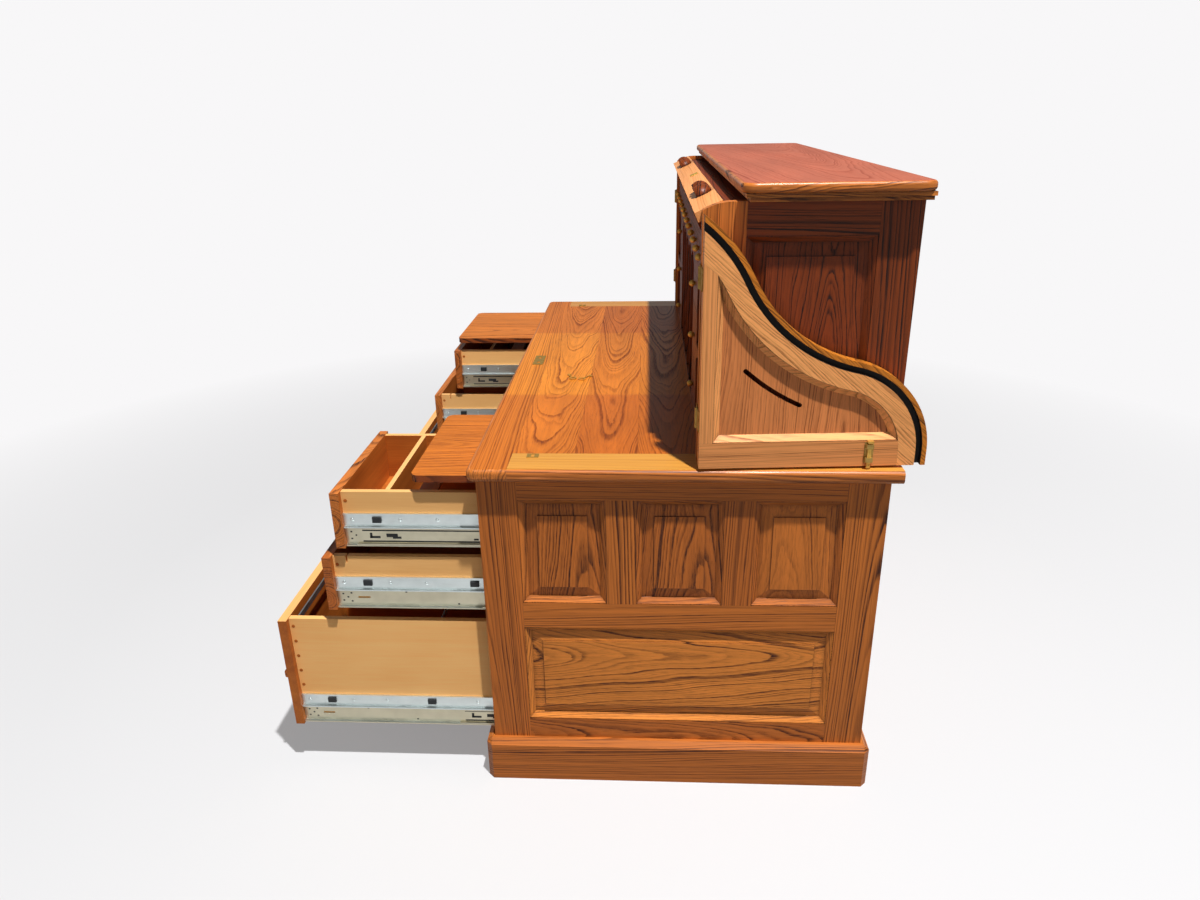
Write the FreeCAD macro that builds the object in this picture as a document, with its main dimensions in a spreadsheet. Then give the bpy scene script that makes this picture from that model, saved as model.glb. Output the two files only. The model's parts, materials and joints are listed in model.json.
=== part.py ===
import FreeCAD, Part
import math
import os
import re

# A double pedestal roll top desk in oak, in millimetres: +Z up, -Y to the sitter, X across.
# It stands as it was photographed: drawers and writing boards drawn out, the curtain rolled
# up into the hutch, and the two curved wings swung back beside the hutch.
# Every piece is built with the front of the posts at Y = 0, and each sub-part is then moved
# so that the origin lies on the floor in the middle of the whole.

V = FreeCAD.Vector
doc = FreeCAD.newDocument("RollTopDesk")

# Driving sizes

SIZES = (
    ("glue_line", 0.2, "gap between two boards that meet"),
    ("running_gap", 0.3, "gap between a moving piece and what carries it"),
    ("front_gap", 1.5, "gap around a drawer front"),
    ("body_depth", 806, "front of the posts to the back of the base"),
    ("kneehole_width", 676, "clear width between the pedestals"),
    ("opening_width", 362, "clear width inside a pedestal"),
    ("side_thickness", 20, "pedestal sides and the back"),
    ("plinth_height", 105, "plinth boards"),
    ("plinth_thickness", 18.6, "plinth boards"),
    ("plinth_bevel", 12, "sloping top edge of the plinth"),
    ("stile_width", 80, "upright frame members of the base"),
    ("mullion_width", 60, "uprights between two panels"),
    ("end_lower_rail", 49, "frame rail above the plinth"),
    ("end_lower_opening", 238, "height of the lower panel opening"),
    ("end_middle_rail", 59, "frame rail between the panel rows"),
    ("end_top_rail", 46, "frame rail below the desktop"),
    ("moulding_width", 13, "bevelled moulding round a panel"),
    ("moulding_depth", 11, "how far the moulding slopes in"),
    ("moulding_land", 1.5, "flat edge left on the moulding"),
    ("panel_margin", 24, "sloping margin of a raised panel"),
    ("panel_setback", 4, "raised field behind the frame face"),
    ("panel_shoulder", 2.5, "square step round a raised field"),
    ("panel_thickness", 7, "edge of a panel"),
    ("slab_thickness", 27, "desktop"),
    ("slab_front_overhang", 15, "desktop past the posts"),
    ("slab_end_overhang", 23, "desktop past the ends"),
    ("slab_back_overhang", 17, "desktop past the back"),
    ("slab_front_rail", 81, "front board of the desktop"),
    ("slab_end_board", 88, "cross board at each end of the desktop"),
    ("slab_rounding", 10, "radius of the desktop's edge"),
    ("slab_corner", 16, "radius of the desktop's corners"),
    ("file_front", 276, "height of the file drawer's front"),
    ("middle_front", 125.5, "height of the middle drawer's front"),
    ("top_front", 125, "height of the top drawer's front"),
    ("low_rail", 29, "rail above the file drawer"),
    ("middle_rail", 21.5, "rail above the middle drawer"),
    ("high_rail", 25, "rail above the top drawer"),
    ("rail_depth", 60, "drawer rails, front to back"),
    ("front_thickness", 19, "drawer fronts"),
    ("box_gap", 15, "space for the slides on each side of a drawer box"),
    ("box_side", 13, "drawer box sides and backs"),
    ("box_length", 580, "drawer box behind its front"),
    ("box_bottom", 6, "drawer bottoms"),
    ("box_lift", 8, "drawer bottom above the lower edge of the sides"),
    ("box_drop", 1.5, "drawer sides below the top of the front"),
    ("box_raise", 3, "drawer sides above the foot of the front"),
    ("file_open", 465, "right file drawer drawn out"),
    ("middle_open", 345, "right middle drawer drawn out"),
    ("top_open", 308, "right top drawer drawn out"),
    ("left_file_open", 441, "left file drawer drawn out"),
    ("left_middle_open", 358, "left middle drawer drawn out"),
    ("left_top_open", 281, "left top drawer drawn out"),
    ("board_slot", 19, "slot for a writing board"),
    ("board_thickness", 15, "writing boards"),
    ("board_length", 600, "writing boards"),
    ("board_corner", 18, "rounded front corners of a writing board"),
    ("board_open", 137, "right writing board drawn out"),
    ("left_board_open", 265, "left writing board drawn out"),
    ("divider_back", 90, "cross divider behind the front"),
    ("divider_thickness", 10, "cross divider"),
    ("ledge_back", 161, "pencil ledge behind the front"),
    ("ledge_width", 38, "pencil ledge"),
    ("ledge_thickness", 6, "pencil ledge"),
    ("slot_back", 28, "divider slots behind the front"),
    ("slot_width", 3.5, "divider slots in the sides"),
    ("slot_depth", 15, "divider slots in the sides"),
    ("hanger_back", 14, "hanging rail behind the front"),
    ("hanger_spacing", 320, "front to back between the hanging rails"),
    ("hanger_thickness", 3, "hanging rails"),
    ("hanger_height", 14, "hanging rails"),
    ("centre_front", 78, "height of the centre drawer's front"),
    ("centre_length", 420, "centre drawer box"),
    ("centre_ledge", 14, "ledges that carry the centre drawer"),
    ("slide_length", 560, "drawer slides"),
    ("slide_height", 73, "drawer slides"),
    ("slide_start", 22, "front of the fixed slide rails behind the posts"),
    ("slide_channel", 44, "height of the lower channel of a slide"),
    ("slide_lip", 2.4, "folded lips of the slides"),
    ("slide_plate", 1.6, "sheet of the slides"),
    ("slide_reach", 9, "how far the lips stand out"),
    ("file_share", 0.23, "part of the file drawer's travel that its middle rails make"),
    ("middle_share", 0.1, "the same for the middle drawer"),
    ("top_share", 0.93, "the same for the top drawer"),
    ("pull_width", 124, "carved pulls"),
    ("pull_height", 44, "carved pulls"),
    ("pull_depth", 24, "carved pulls"),
    ("pull_wall", 8, "wood round the finger hollow"),
    ("bead_height", 19, "bead across a file drawer's front"),
    ("bead_depth", 5, "bead across a file drawer's front"),
    ("hutch_inset", 25, "hutch sides inside the ends of the base"),
    ("hutch_side", 24, "hutch sides and wings"),
    ("hutch_front_stile", 78, "front uprights of the hutch sides"),
    ("hutch_back_stile", 73, "back uprights of the hutch sides"),
    ("hutch_top_rail", 59, "top rail of the hutch sides"),
    ("hutch_low_rail", 78, "bottom rail of the hutch sides"),
    ("hutch_back_overhang", 8, "back of the hutch past the back of the base"),
    ("top_thickness", 18, "hutch top"),
    ("top_step", 7.5, "each of the two moulding steps below it"),
    ("top_setback", 66, "front edge of the hutch top behind the wing hinges"),
    ("top_end_overhang", 34, "hutch top past the hutch sides"),
    ("top_back_overhang", 12, "hutch top past the hutch back"),
    ("top_rounding", 7, "radius of the hutch top's edge"),
    ("top_corner", 24, "radius of the hutch top's corners"),
    ("step_inset", 8, "each moulding step inside the one above"),
    ("groove_width", 12, "curtain groove in a wing"),
    ("groove_depth", 12, "curtain groove in a wing"),
    ("groove_strip", 9, "strip outside the groove"),
    ("curved_rail", 33, "wood between the groove and the panel"),
    ("lead_angle", 38, "slope of the groove at the hinge, in degrees"),
    ("steep_angle", 63.4, "steepest slope of the groove, in degrees"),
    ("shallow_angle", 13, "shallowest slope of the groove, in degrees"),
    ("upper_radius", 290, "first bend of the groove"),
    ("hollow_radius", 310, "hollow bend of the groove"),
    ("nose_radius", 165, "last bend of the groove"),
    ("groove_foot", 28, "straight foot of the groove"),
    ("wing_gap", 5, "wing above the desktop"),
    ("wing_stile", 27, "hinge side upright of a wing"),
    ("wing_stile_top", 64, "top of that upright below the groove at the hinge"),
    ("wing_rail", 51, "bottom rail of a wing"),
    ("wing_panel", 8.8, "panel of a wing"),
    ("stay_slot_depth", 98, "curved slot below the groove line"),
    ("stay_slot_width", 9, "curved slot"),
    ("stay_slot_start", 24.6, "lower end of the curved slot, in degrees"),
    ("stay_slot_end", 42, "upper end of the curved slot, in degrees"),
    ("hinge_standoff", 11.4, "hinge line outside the hutch sides"),
    ("fold_angle", 183.2, "wings from shut to folded back, in degrees"),
    ("hinge_height", 40, "butt hinges"),
    ("hinge_knuckle", 4, "radius of a hinge knuckle"),
    ("hinge_pin", 2, "radius of a hinge pin"),
    ("pin_clearance", 0.06, "between a pin and its knuckle"),
    ("hinge_leaf", 1.7, "hinge leaves"),
    ("hinge_reach", 16, "hinge leaf on the wood"),
    ("low_hinge", 96, "middle of the lower hinge above the desktop"),
    ("high_hinge", 361, "middle of the upper hinge above the desktop"),
    ("bolt_back", 322, "wing bolt from the hinge line"),
    ("bolt_plate_width", 17, "back plate of the wing bolt"),
    ("bolt_plate_low", 12, "foot of the bolt's back plate above the desktop"),
    ("bolt_plate_height", 42, "back plate of the wing bolt"),
    ("bolt_width", 7, "wing bolt"),
    ("bolt_thickness", 4, "wing bolt"),
    ("bolt_low", 2.5, "foot of the wing bolt above the desktop"),
    ("bolt_length", 56, "wing bolt"),
    ("slat_pitch", 24, "curtain slats along the curtain"),
    ("slat_gap", 0.8, "between two slats"),
    ("slat_thickness", 10, "curtain slats"),
    ("curtain_end_gap", 1.5, "curtain and hutch side"),
    ("lift_rail_width", 54, "lift rail along the curtain"),
    ("lift_rail_thickness", 18, "lift rail"),
    ("lift_rail_lead", 6, "lift rail in front of the hinge line"),
    ("handle_spacing", 860, "between the two handles of the lift rail"),
    ("roll_radius", 90, "bend of the curtain at the front of the hutch"),
    ("drop_radius", 60, "bend of the curtain at the back of the hutch"),
    ("track_width", 10, "curtain tracks"),
    ("track_depth", 10, "curtain tracks"),
    ("track_front_angle", 30, "how far the tracks turn down at the front, in degrees"),
    ("track_back_gap", 12, "curtain line and the hutch back"),
    ("case_setback", 10, "pigeonhole case behind the hinge line"),
    ("case_depth", 240, "pigeonhole case"),
    ("case_height", 418, "pigeonhole case"),
    ("case_end_gap", 12, "pigeonhole case and hutch side"),
    ("case_board", 8, "outer boards of the pigeonhole case"),
    ("case_shelf", 6, "inner boards of the pigeonhole case"),
    ("row_height", 62, "upper row of small drawers"),
    ("stack_centre", 405, "stacks of small drawers from the middle"),
    ("stack_width", 160, "stacks of small drawers"),
    ("small_gap", 0.6, "around a small drawer"),
    ("small_front", 10, "small drawer fronts"),
    ("small_side", 6, "small drawer sides"),
    ("small_floor", 3, "small drawer bottoms"),
    ("small_length", 200, "small drawers"),
    ("knob_radius", 7, "small brass knobs"),
    ("knob_length", 14, "small brass knobs"),
    ("valance_height", 26, "scalloped valances over the pigeonholes"),
    ("valance_thickness", 5, "scalloped valances"),
    ("strike_thickness", 1.2, "strike plates"),
    ("strike_back", 40, "middle of the lock strike plate behind the posts"),
    ("key_x", 173, "bunch of keys from the middle"),
    ("key_y", 147, "bunch of keys behind the posts"),
    ("key_length", 46, "keys"),
    ("key_thickness", 3.2, "keys"),
)
UPPER_PANELS = 3
TOP_DRAWERS = 6
STACK_DRAWERS = 3
CENTRE_HOLES = 5
FIELD_BOARDS = 6

sheet = doc.addObject("Spreadsheet::Sheet", "Sizes")
for row, (alias, number, meaning) in enumerate(SIZES, start=1):
    sheet.set(f"A{row}", meaning)
    sheet.set(f"B{row}", str(number))
    sheet.setAlias(f"B{row}", alias)
doc.recompute()
SIZE_NAMES = {alias for alias, number, meaning in SIZES}


def size(alias):
    """A driving size, read from the sheet."""
    return float(getattr(sheet, alias))


# Places worked out from the driving sizes

PLACES = (
    ("half_width", "kneehole_width / 2 + 2 * side_thickness + opening_width"),
    ("pedestal_x", "kneehole_width / 2 + side_thickness + opening_width / 2"),
    ("file_bottom", "plinth_height + front_gap"),
    ("low_rail_bottom", "file_bottom + file_front + front_gap"),
    ("middle_bottom", "low_rail_bottom + low_rail + front_gap"),
    ("middle_rail_bottom", "middle_bottom + middle_front + front_gap"),
    ("top_bottom", "middle_rail_bottom + middle_rail + front_gap"),
    ("high_rail_bottom", "top_bottom + top_front + front_gap"),
    ("slot_bottom", "high_rail_bottom + high_rail"),
    ("slab_bottom", "slot_bottom + board_slot"),
    ("desk_top", "slab_bottom + slab_thickness"),
    ("lower_bay_bottom", "plinth_height + end_lower_rail"),
    ("lower_bay_top", "lower_bay_bottom + end_lower_opening"),
    ("upper_bay_bottom", "lower_bay_top + end_middle_rail"),
    ("upper_bay_top", "slab_bottom - end_top_rail"),
    ("back_inner", "body_depth - side_thickness"),
    ("slide_box", "opening_width / 2 - box_gap"),
    ("centre_bottom", "slab_bottom - front_gap - centre_front"),
    ("wing_reach", "upper_radius * (sin(steep_angle * 1deg) - sin(lead_angle * 1deg))"
     " + hollow_radius * (sin(steep_angle * 1deg) - sin(shallow_angle * 1deg))"
     " + nose_radius * (1 - sin(shallow_angle * 1deg))"),
    ("groove_drop", "upper_radius * (cos(lead_angle * 1deg) - cos(steep_angle * 1deg))"
     " + hollow_radius * (cos(shallow_angle * 1deg) - cos(steep_angle * 1deg))"
     " + nose_radius * cos(shallow_angle * 1deg)"),
    ("groove_height", "wing_gap + groove_foot + groove_drop"),
    ("wing_length", "wing_reach + groove_width / 2 + groove_strip"),
    ("hinge_y", "wing_length"),
    ("hutch_half", "half_width - hutch_inset"),
    ("hutch_inner", "hutch_half - hutch_side"),
    ("hinge_x", "hutch_half + hinge_standoff"),
    ("hutch_front", "hinge_y + running_gap + hinge_leaf"),
    ("hutch_back", "body_depth + hutch_back_overhang"),
    ("roll_y", "hinge_y + roll_radius * sin(lead_angle * 1deg)"),
    ("roll_z", "desk_top + groove_height + roll_radius * (1 - cos(lead_angle * 1deg))"),
    ("horn_offset", "groove_width / 2 + groove_strip"),
    ("hutch_height", "roll_z + horn_offset - desk_top"),
    ("hutch_top", "desk_top + hutch_height"),
    ("curtain_back", "hutch_back - side_thickness - track_back_gap"),
    ("case_half", "hutch_inner - case_end_gap"),
    ("case_front", "hinge_y + case_setback"),
    ("case_back", "case_front + case_depth"),
    ("case_bottom", "desk_top + glue_line"),
    ("case_top", "desk_top + case_height"),
    ("row_top", "case_top - case_board"),
    ("row_bottom", "row_top - row_height"),
    ("stack_bottom", "case_bottom + case_board"),
    ("stack_top", "row_bottom - case_shelf"),
    ("front_reach", "file_open + pull_depth"),
    ("back_reach", "hinge_y + wing_length * cos((fold_angle - 180) * 1deg)"
     " + (hinge_standoff + hutch_side) * sin((fold_angle - 180) * 1deg)"),
    ("origin_back", "(back_reach - front_reach) / 2"),
)
PLACE_NAMES = {alias for alias, text in PLACES}
WORD = re.compile(r"[a-z][a-z_0-9]*")


def formula(text):
    """An expression in plain size names, with the object that holds each name put in front."""
    def full(match):
        word = match.group()
        if word in SIZE_NAMES:
            return "Sizes." + word
        return "Places." + word if word in PLACE_NAMES else word
    return WORD.sub(full, str(text))


def bind(thing, path, text):
    """Ties one property of an object to the sizes."""
    thing.setExpression(path, formula(text))


places = doc.addObject("App::VarSet", "Places")
for alias, text in PLACES:
    places.addProperty("App::PropertyFloat", alias)
    bind(places, alias, text)
doc.recompute()


def place(alias):
    """A worked out place, as a number."""
    return float(getattr(places, alias))


# Simple solids

def box(x, y, z):
    """A board between two corners: each argument is its low and high coordinate."""
    board = doc.addObject("Part::Box", "Board")
    for side, axis, (low, high) in zip(("Length", "Width", "Height"), "xyz", (x, y, z)):
        bind(board, side, f"({high}) - ({low})")
        bind(board, f"Placement.Base.{axis}", low)
    return board


def cylinder(radius, length, base, turn):
    """A round bar from its base point, turned from +Z."""
    bar = doc.addObject("Part::Cylinder", "Bar")
    bar.Placement = FreeCAD.Placement(V(0, 0, 0), turn)
    bind(bar, "Radius", radius)
    bind(bar, "Height", length)
    for axis, low in zip("xyz", base):
        bind(bar, f"Placement.Base.{axis}", low)
    return bar


def faceted(sides, radius, length, base, turn):
    """A bar with flat sides from its base point, turned from +Z."""
    bar = doc.addObject("Part::Prism", "Faceted bar")
    bar.Polygon = sides
    bar.Placement = FreeCAD.Placement(V(0, 0, 0), turn)
    bind(bar, "Circumradius", radius)
    bind(bar, "Height", length)
    for axis, low in zip("xyz", base):
        bind(bar, f"Placement.Base.{axis}", low)
    return bar


UPRIGHT = FreeCAD.Rotation()
ALONG_X = FreeCAD.Rotation(V(0, 1, 0), 90)
ALONG_Y = FreeCAD.Rotation(V(1, 0, 0), -90)


def cut(base, tool):
    """One solid less another."""
    result = doc.addObject("Part::Cut", "Cut")
    result.Base = base
    result.Tool = tool
    return result


def joined(parts):
    """Several solids as one."""
    result = doc.addObject("Part::MultiFuse", "Joined")
    result.Shapes = parts
    result.Refine = True
    return result


def common(base, tool):
    """What two solids share."""
    result = doc.addObject("Part::Common", "Common")
    result.Base = base
    result.Tool = tool
    return result


def edges_where(thing, test):
    """Numbers of the straight edges whose middle and direction pass a test."""
    doc.recompute()
    found = []
    for number, edge in enumerate(thing.Shape.Edges, start=1):
        first, last = edge.Vertexes[0].Point, edge.Vertexes[-1].Point
        if test((first + last) / 2, (last - first).normalize()):
            found.append(number)
    return found


def eased(thing, picks, kind="Part::Fillet"):
    """Rounds or bevels edges: each pick is a test and a radius."""
    edges = []
    for test, radius in picks:
        edges += [(number, radius, radius) for number in edges_where(thing, test)]
    result = doc.addObject(kind, "Eased")
    result.Base = thing
    result.Edges = edges
    return result


def shift(text, low, high, sign):
    """A span measured outwards (sign 1) or inwards (-1) along an axis from a place."""
    if sign > 0:
        return (f"{text} + ({low})", f"{text} + ({high})")
    return (f"{text} - ({high})", f"{text} - ({low})")


def node(name, parts):
    """A named sub-part made of its separate solids."""
    group = doc.addObject("Part::Compound", name)
    group.Label = name
    group.Links = parts
    bind(group, "Placement.Base.y", "-origin_back")
    return group


# Frames and raised panels

TURNS = {"+x": -90, "-x": 90, "+y": 0, "-y": 180}


def layer(facing, face, across, z, depth):
    """A board in a wall that faces one way, between two depths behind the wall's face."""
    sign = -1 if facing[0] == "+" else 1
    span = shift(face, depth[0], depth[1], sign)
    return box(span, across, z) if facing[1] == "x" else box(across, span, z)


def frustum(facing, face, across, z, depth, inset):
    """A bevelled block in such a wall, drawn in by two insets: at its outer and inner depth."""
    block = doc.addObject("Part::Wedge", "Bevel")
    block.Placement = FreeCAD.Placement(V(0, 0, 0), FreeCAD.Rotation(V(0, 0, 1), TURNS[facing]))
    wide = f"(({across[1]}) - ({across[0]})) / 2"
    tall = f"(({z[1]}) - ({z[0]})) / 2"
    bind(block, "Ymin", "0")
    bind(block, "Ymax", f"({depth[1]}) - ({depth[0]})")
    for mark, drawn in (("", inset[1]), ("2", inset[0])):
        bind(block, f"X{mark}min", f"-{wide} + {drawn}")
        bind(block, f"X{mark}max", f"{wide} - ({drawn})")
        bind(block, f"Z{mark}min", f"-{tall} + {drawn}")
        bind(block, f"Z{mark}max", f"{tall} - ({drawn})")
    sign = "-" if facing[0] == "+" else "+"
    outward, sideways = ("x", "y") if facing[1] == "x" else ("y", "x")
    bind(block, f"Placement.Base.{outward}", f"{face} {sign} ({depth[1]})")
    bind(block, f"Placement.Base.{sideways}", f"(({across[0]}) + ({across[1]})) / 2")
    bind(block, "Placement.Base.z", f"(({z[0]}) + ({z[1]})) / 2")
    return block


def drawn_in(span, amount):
    """A span drawn in by an amount at both ends."""
    return (f"{span[0]} + {amount}", f"{span[1]} - ({amount})")


def panel_bay(facing, face, across, z):
    """A bevelled moulding and a raised panel in one opening of a frame."""
    across = (f"{across[0]} + glue_line", f"{across[1]} - glue_line")
    z = (f"{z[0]} + glue_line", f"{z[1]} - glue_line")
    slope = ("moulding_land", "moulding_depth")
    block = layer(facing, face, across, z, slope)
    hole = frustum(facing, face, across, z, slope, ("moulding_land", "moulding_width"))
    back = ("moulding_depth + glue_line", "moulding_depth + glue_line + panel_thickness")
    plate = layer(facing, face, across, z, back)
    inset = ("moulding_width + panel_margin", "moulding_width + glue_line")
    step = "panel_setback + panel_shoulder"
    margin = frustum(facing, face, across, z, (step, back[0]), inset)
    field = layer(facing, face, drawn_in(across, inset[0]), drawn_in(z, inset[0]), ("panel_setback", step))
    return [cut(block, hole), joined([plate, margin, field])]


def row_of_bays(first, last, count):
    """Even openings between two places, one mullion apart: their spans and the mullions."""
    width = f"(({last}) - ({first}) - {count - 1} * mullion_width) / {count}"
    bays, posts = [], []
    for index in range(count):
        low = f"{first} + {index} * ({width} + mullion_width)"
        bays.append((low, f"{low} + {width}"))
        if index < count - 1:
            posts.append((f"{low} + {width}", f"{low} + {width} + mullion_width"))
    return bays, posts


def tight(span):
    """A span drawn in by the glue line at both ends."""
    return (f"{span[0]} + glue_line", f"{span[1]} - glue_line")


# The base

def pedestal_end(sign):
    """Outer end of a pedestal: three upright panels over one long one."""
    facing = "+x" if sign > 0 else "-x"
    face = "half_width" if sign > 0 else "-half_width"
    depth = ("0", "side_thickness")
    inner = ("stile_width", "body_depth - stile_width")
    parts = [layer(facing, face, ("0", "stile_width"), ("0", "slab_bottom"), depth),
             layer(facing, face, (inner[1], "body_depth"), ("0", "slab_bottom"), depth)]
    for z in (("0", "lower_bay_bottom"), ("lower_bay_top", "upper_bay_bottom"),
              ("upper_bay_top", "slab_bottom")):
        parts.append(layer(facing, face, tight(inner), z, depth))
    bays, posts = row_of_bays(inner[0], inner[1], UPPER_PANELS)
    upper = ("upper_bay_bottom", "upper_bay_top")
    parts += [layer(facing, face, post, tight(upper), depth) for post in posts]
    for bay in bays:
        parts += panel_bay(facing, face, bay, upper)
    parts += panel_bay(facing, face, inner, ("lower_bay_bottom", "lower_bay_top"))
    return parts


def kneehole_side(sign):
    """Inner side of a pedestal, framed like the ends but with two tall panels."""
    facing = "-x" if sign > 0 else "+x"
    face = "kneehole_width / 2" if sign > 0 else "-kneehole_width / 2"
    depth = ("0", "side_thickness")
    last = "back_inner - glue_line"
    inner = ("stile_width", f"{last} - stile_width")
    upper = ("lower_bay_bottom", "upper_bay_top")
    parts = [layer(facing, face, ("0", "stile_width"), ("0", "slab_bottom"), depth),
             layer(facing, face, (inner[1], last), ("0", "slab_bottom"), depth),
             layer(facing, face, tight(inner), ("0", "lower_bay_bottom"), depth),
             layer(facing, face, tight(inner), ("upper_bay_top", "slab_bottom"), depth)]
    bays, posts = row_of_bays(inner[0], inner[1], 2)
    parts += [layer(facing, face, post, tight(upper), depth) for post in posts]
    for bay in bays:
        parts += panel_bay(facing, face, bay, upper)
    return parts


def desk_back():
    """Back of the base: four framed panels, open below the plinth line at the kneehole."""
    depth = ("0", "side_thickness")
    edge = "half_width - side_thickness - glue_line"
    knee = "kneehole_width / 2"
    upper = ("lower_bay_bottom", "upper_bay_top")
    whole = ("0", "slab_bottom")
    parts, bays = [], []
    for sign in (-1, 1):
        outer = shift("0", f"{edge} - stile_width", edge, sign)
        middle = shift("0", knee, f"{knee} + stile_width", sign)
        wide = shift("0", f"{knee} + stile_width", f"{edge} - stile_width", sign)
        narrow = shift("0", "mullion_width / 2", knee, sign)
        parts += [layer("+y", "body_depth", span, whole, depth) for span in (outer, middle)]
        parts.append(layer("+y", "body_depth", tight(wide), ("0", "lower_bay_bottom"), depth))
        parts.append(layer("+y", "body_depth", tight(wide), ("upper_bay_top", "slab_bottom"), depth))
        bays += [wide, narrow]
    kneehole = (f"-({knee}) + glue_line", f"{knee} - glue_line")
    for z in (("plinth_height + glue_line", "lower_bay_bottom"), ("upper_bay_top", "slab_bottom")):
        parts.append(layer("+y", "body_depth", kneehole, z, depth))
    mullion = ("-mullion_width / 2", "mullion_width / 2")
    parts.append(layer("+y", "body_depth", mullion, tight(upper), depth))
    for bay in bays:
        parts += panel_bay("+y", "body_depth", bay, upper)
    return parts


def plinth():
    """Plinth boards round both pedestals, with a sloping top edge."""
    height = ("0", "plinth_height")
    top = size("plinth_height")
    bevel = size("plinth_bevel")
    parts = []
    for sign in (-1, 1):
        inner = "kneehole_width / 2 - glue_line"
        outer = "half_width + glue_line"
        long = ("-plinth_thickness", "body_depth + plinth_thickness")
        outside = box(shift("0", outer, f"{outer} + plinth_thickness", sign), long, height)
        inside = box(shift("0", f"{inner} - plinth_thickness", inner, sign), long, height)
        ends = {outside: sign, inside: -sign}
        for board, side in ends.items():
            doc.recompute()
            bounds = board.Shape.BoundBox
            edge = bounds.XMax if side > 0 else bounds.XMin
            limits = (edge, bounds.YMin, bounds.YMax)
            parts.append(eased(board, ((outer_top(limits, top), bevel), (corner(limits), bevel)),
                               "Part::Chamfer"))
        cross = shift("0", f"{inner} + glue_line", f"{outer} - glue_line", sign)
        for y in (("-plinth_thickness", "-glue_line"),
                  ("body_depth + glue_line", "body_depth + plinth_thickness")):
            board = box(cross, y, height)
            doc.recompute()
            bounds = board.Shape.BoundBox
            edge = bounds.YMin if bounds.YMin < 0 else bounds.YMax
            parts.append(eased(board, ((along_x_at(edge, top), bevel),), "Part::Chamfer"))
    return parts


def outer_top(limits, top):
    """Test for the top edges on the outer side and both ends of a plinth board."""
    edge, first, last = limits

    def test(middle, way):
        outer = abs(middle.x - edge) < 0.01 and abs(way.y) > 0.9
        end = min(abs(middle.y - first), abs(middle.y - last)) < 0.01 and abs(way.x) > 0.9
        return abs(middle.z - top) < 0.01 and (outer or end)
    return test


def corner(limits):
    """Test for the upright outer corners of a plinth board."""
    edge, first, last = limits

    def test(middle, way):
        end = min(abs(middle.y - first), abs(middle.y - last)) < 0.01
        return abs(way.z) > 0.9 and abs(middle.x - edge) < 0.01 and end
    return test


def along_x_at(edge, top):
    """Test for an edge along X at one Y, at the top."""
    def test(middle, way):
        return abs(way.x) > 0.9 and abs(middle.y - edge) < 0.01 and abs(middle.z - top) < 0.01
    return test


def desktop():
    """Desktop boards: a front rail, a cross board at each end and glued boards between."""
    z = ("slab_bottom + glue_line", "desk_top")
    edge = "half_width + slab_end_overhang"
    split = "slab_front_rail - slab_front_overhang"
    back = "body_depth + slab_back_overhang"
    rounding, turn = size("slab_rounding"), size("slab_corner")
    front = box((f"-({edge})", edge), ("-slab_front_overhang", split), z)
    doc.recompute()
    bounds = front.Shape.BoundBox

    def nose(middle, way):
        ahead = abs(middle.y - bounds.YMin) < 0.01 and abs(way.x) > 0.9
        side = abs(abs(middle.x) - bounds.XMax) < 0.01 and abs(way.y) > 0.9
        return ahead or side

    def front_corner(middle, way):
        return abs(way.z) > 0.9 and abs(middle.y - bounds.YMin) < 0.01
    parts = [eased(eased(front, ((front_corner, turn),)), ((rim_of(bounds), rounding),))]
    for sign in (-1, 1):
        span = shift("0", f"{edge} - slab_end_board", edge, sign)
        board = box(span, (f"{split} + glue_line", back), z)
        parts.append(eased(board, ((lambda middle, way: abs(way.y) > 0.9
                                    and abs(abs(middle.x) - bounds.XMax) < 0.01, rounding),)))
    inner = (f"-({edge}) + slab_end_board + glue_line", f"{edge} - slab_end_board - glue_line")
    width = f"(({back}) - ({split}) - glue_line) / {FIELD_BOARDS}"
    for index in range(FIELD_BOARDS):
        low = f"{split} + glue_line + {index} * {width}"
        parts.append(box(inner, (low, f"{low} + {width} - glue_line"), z))
    return parts


def rim_of(bounds):
    """Test for the upper and lower rim of a board with rounded front corners."""
    def test(middle, way):
        level = min(abs(middle.z - bounds.ZMin), abs(middle.z - bounds.ZMax)) < 0.01
        inside = middle.y > bounds.YMax - 0.01
        return level and not inside
    return test


def drawer_rails():
    """Front rails of both pedestals."""
    parts = []
    for sign in (-1, 1):
        span = shift("0", "kneehole_width / 2 + side_thickness + glue_line",
                     "half_width - side_thickness - glue_line", sign)
        for low, tall in (("plinth_height - low_rail", "low_rail - running_gap"),
                          ("low_rail_bottom", "low_rail"),
                          ("middle_rail_bottom", "middle_rail"),
                          ("high_rail_bottom", "high_rail")):
            parts.append(box(span, ("0", "rail_depth"), (low, f"{low} + {tall}")))
    return parts


def inner_framing():
    """Pedestal floors, runners for the writing boards and ledges for the centre drawer."""
    parts = []
    behind = ("rail_depth + glue_line", "back_inner - glue_line")
    for sign in (-1, 1):
        inner = "kneehole_width / 2 + side_thickness + glue_line"
        outer = "half_width - side_thickness - glue_line"
        floor = ("plinth_height - low_rail", "plinth_height - low_rail / 2")
        parts.append(box(shift("0", inner, outer, sign), behind, floor))
        runner = ("high_rail_bottom + high_rail / 2", "slot_bottom - running_gap")
        for span in ((inner, f"{inner} + box_gap"), (f"{outer} - box_gap", outer)):
            parts.append(box(shift("0", span[0], span[1], sign), behind, runner))
        ledge = ("kneehole_width / 2 - centre_ledge", "kneehole_width / 2 - glue_line")
        low = "centre_bottom + box_raise"
        parts.append(box(shift("0", ledge[0], ledge[1], sign),
                         ("front_thickness + front_gap", "centre_length + rail_depth"),
                         (f"{low} - running_gap - centre_ledge", f"{low} - running_gap")))
    return parts


# Drawers

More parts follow.
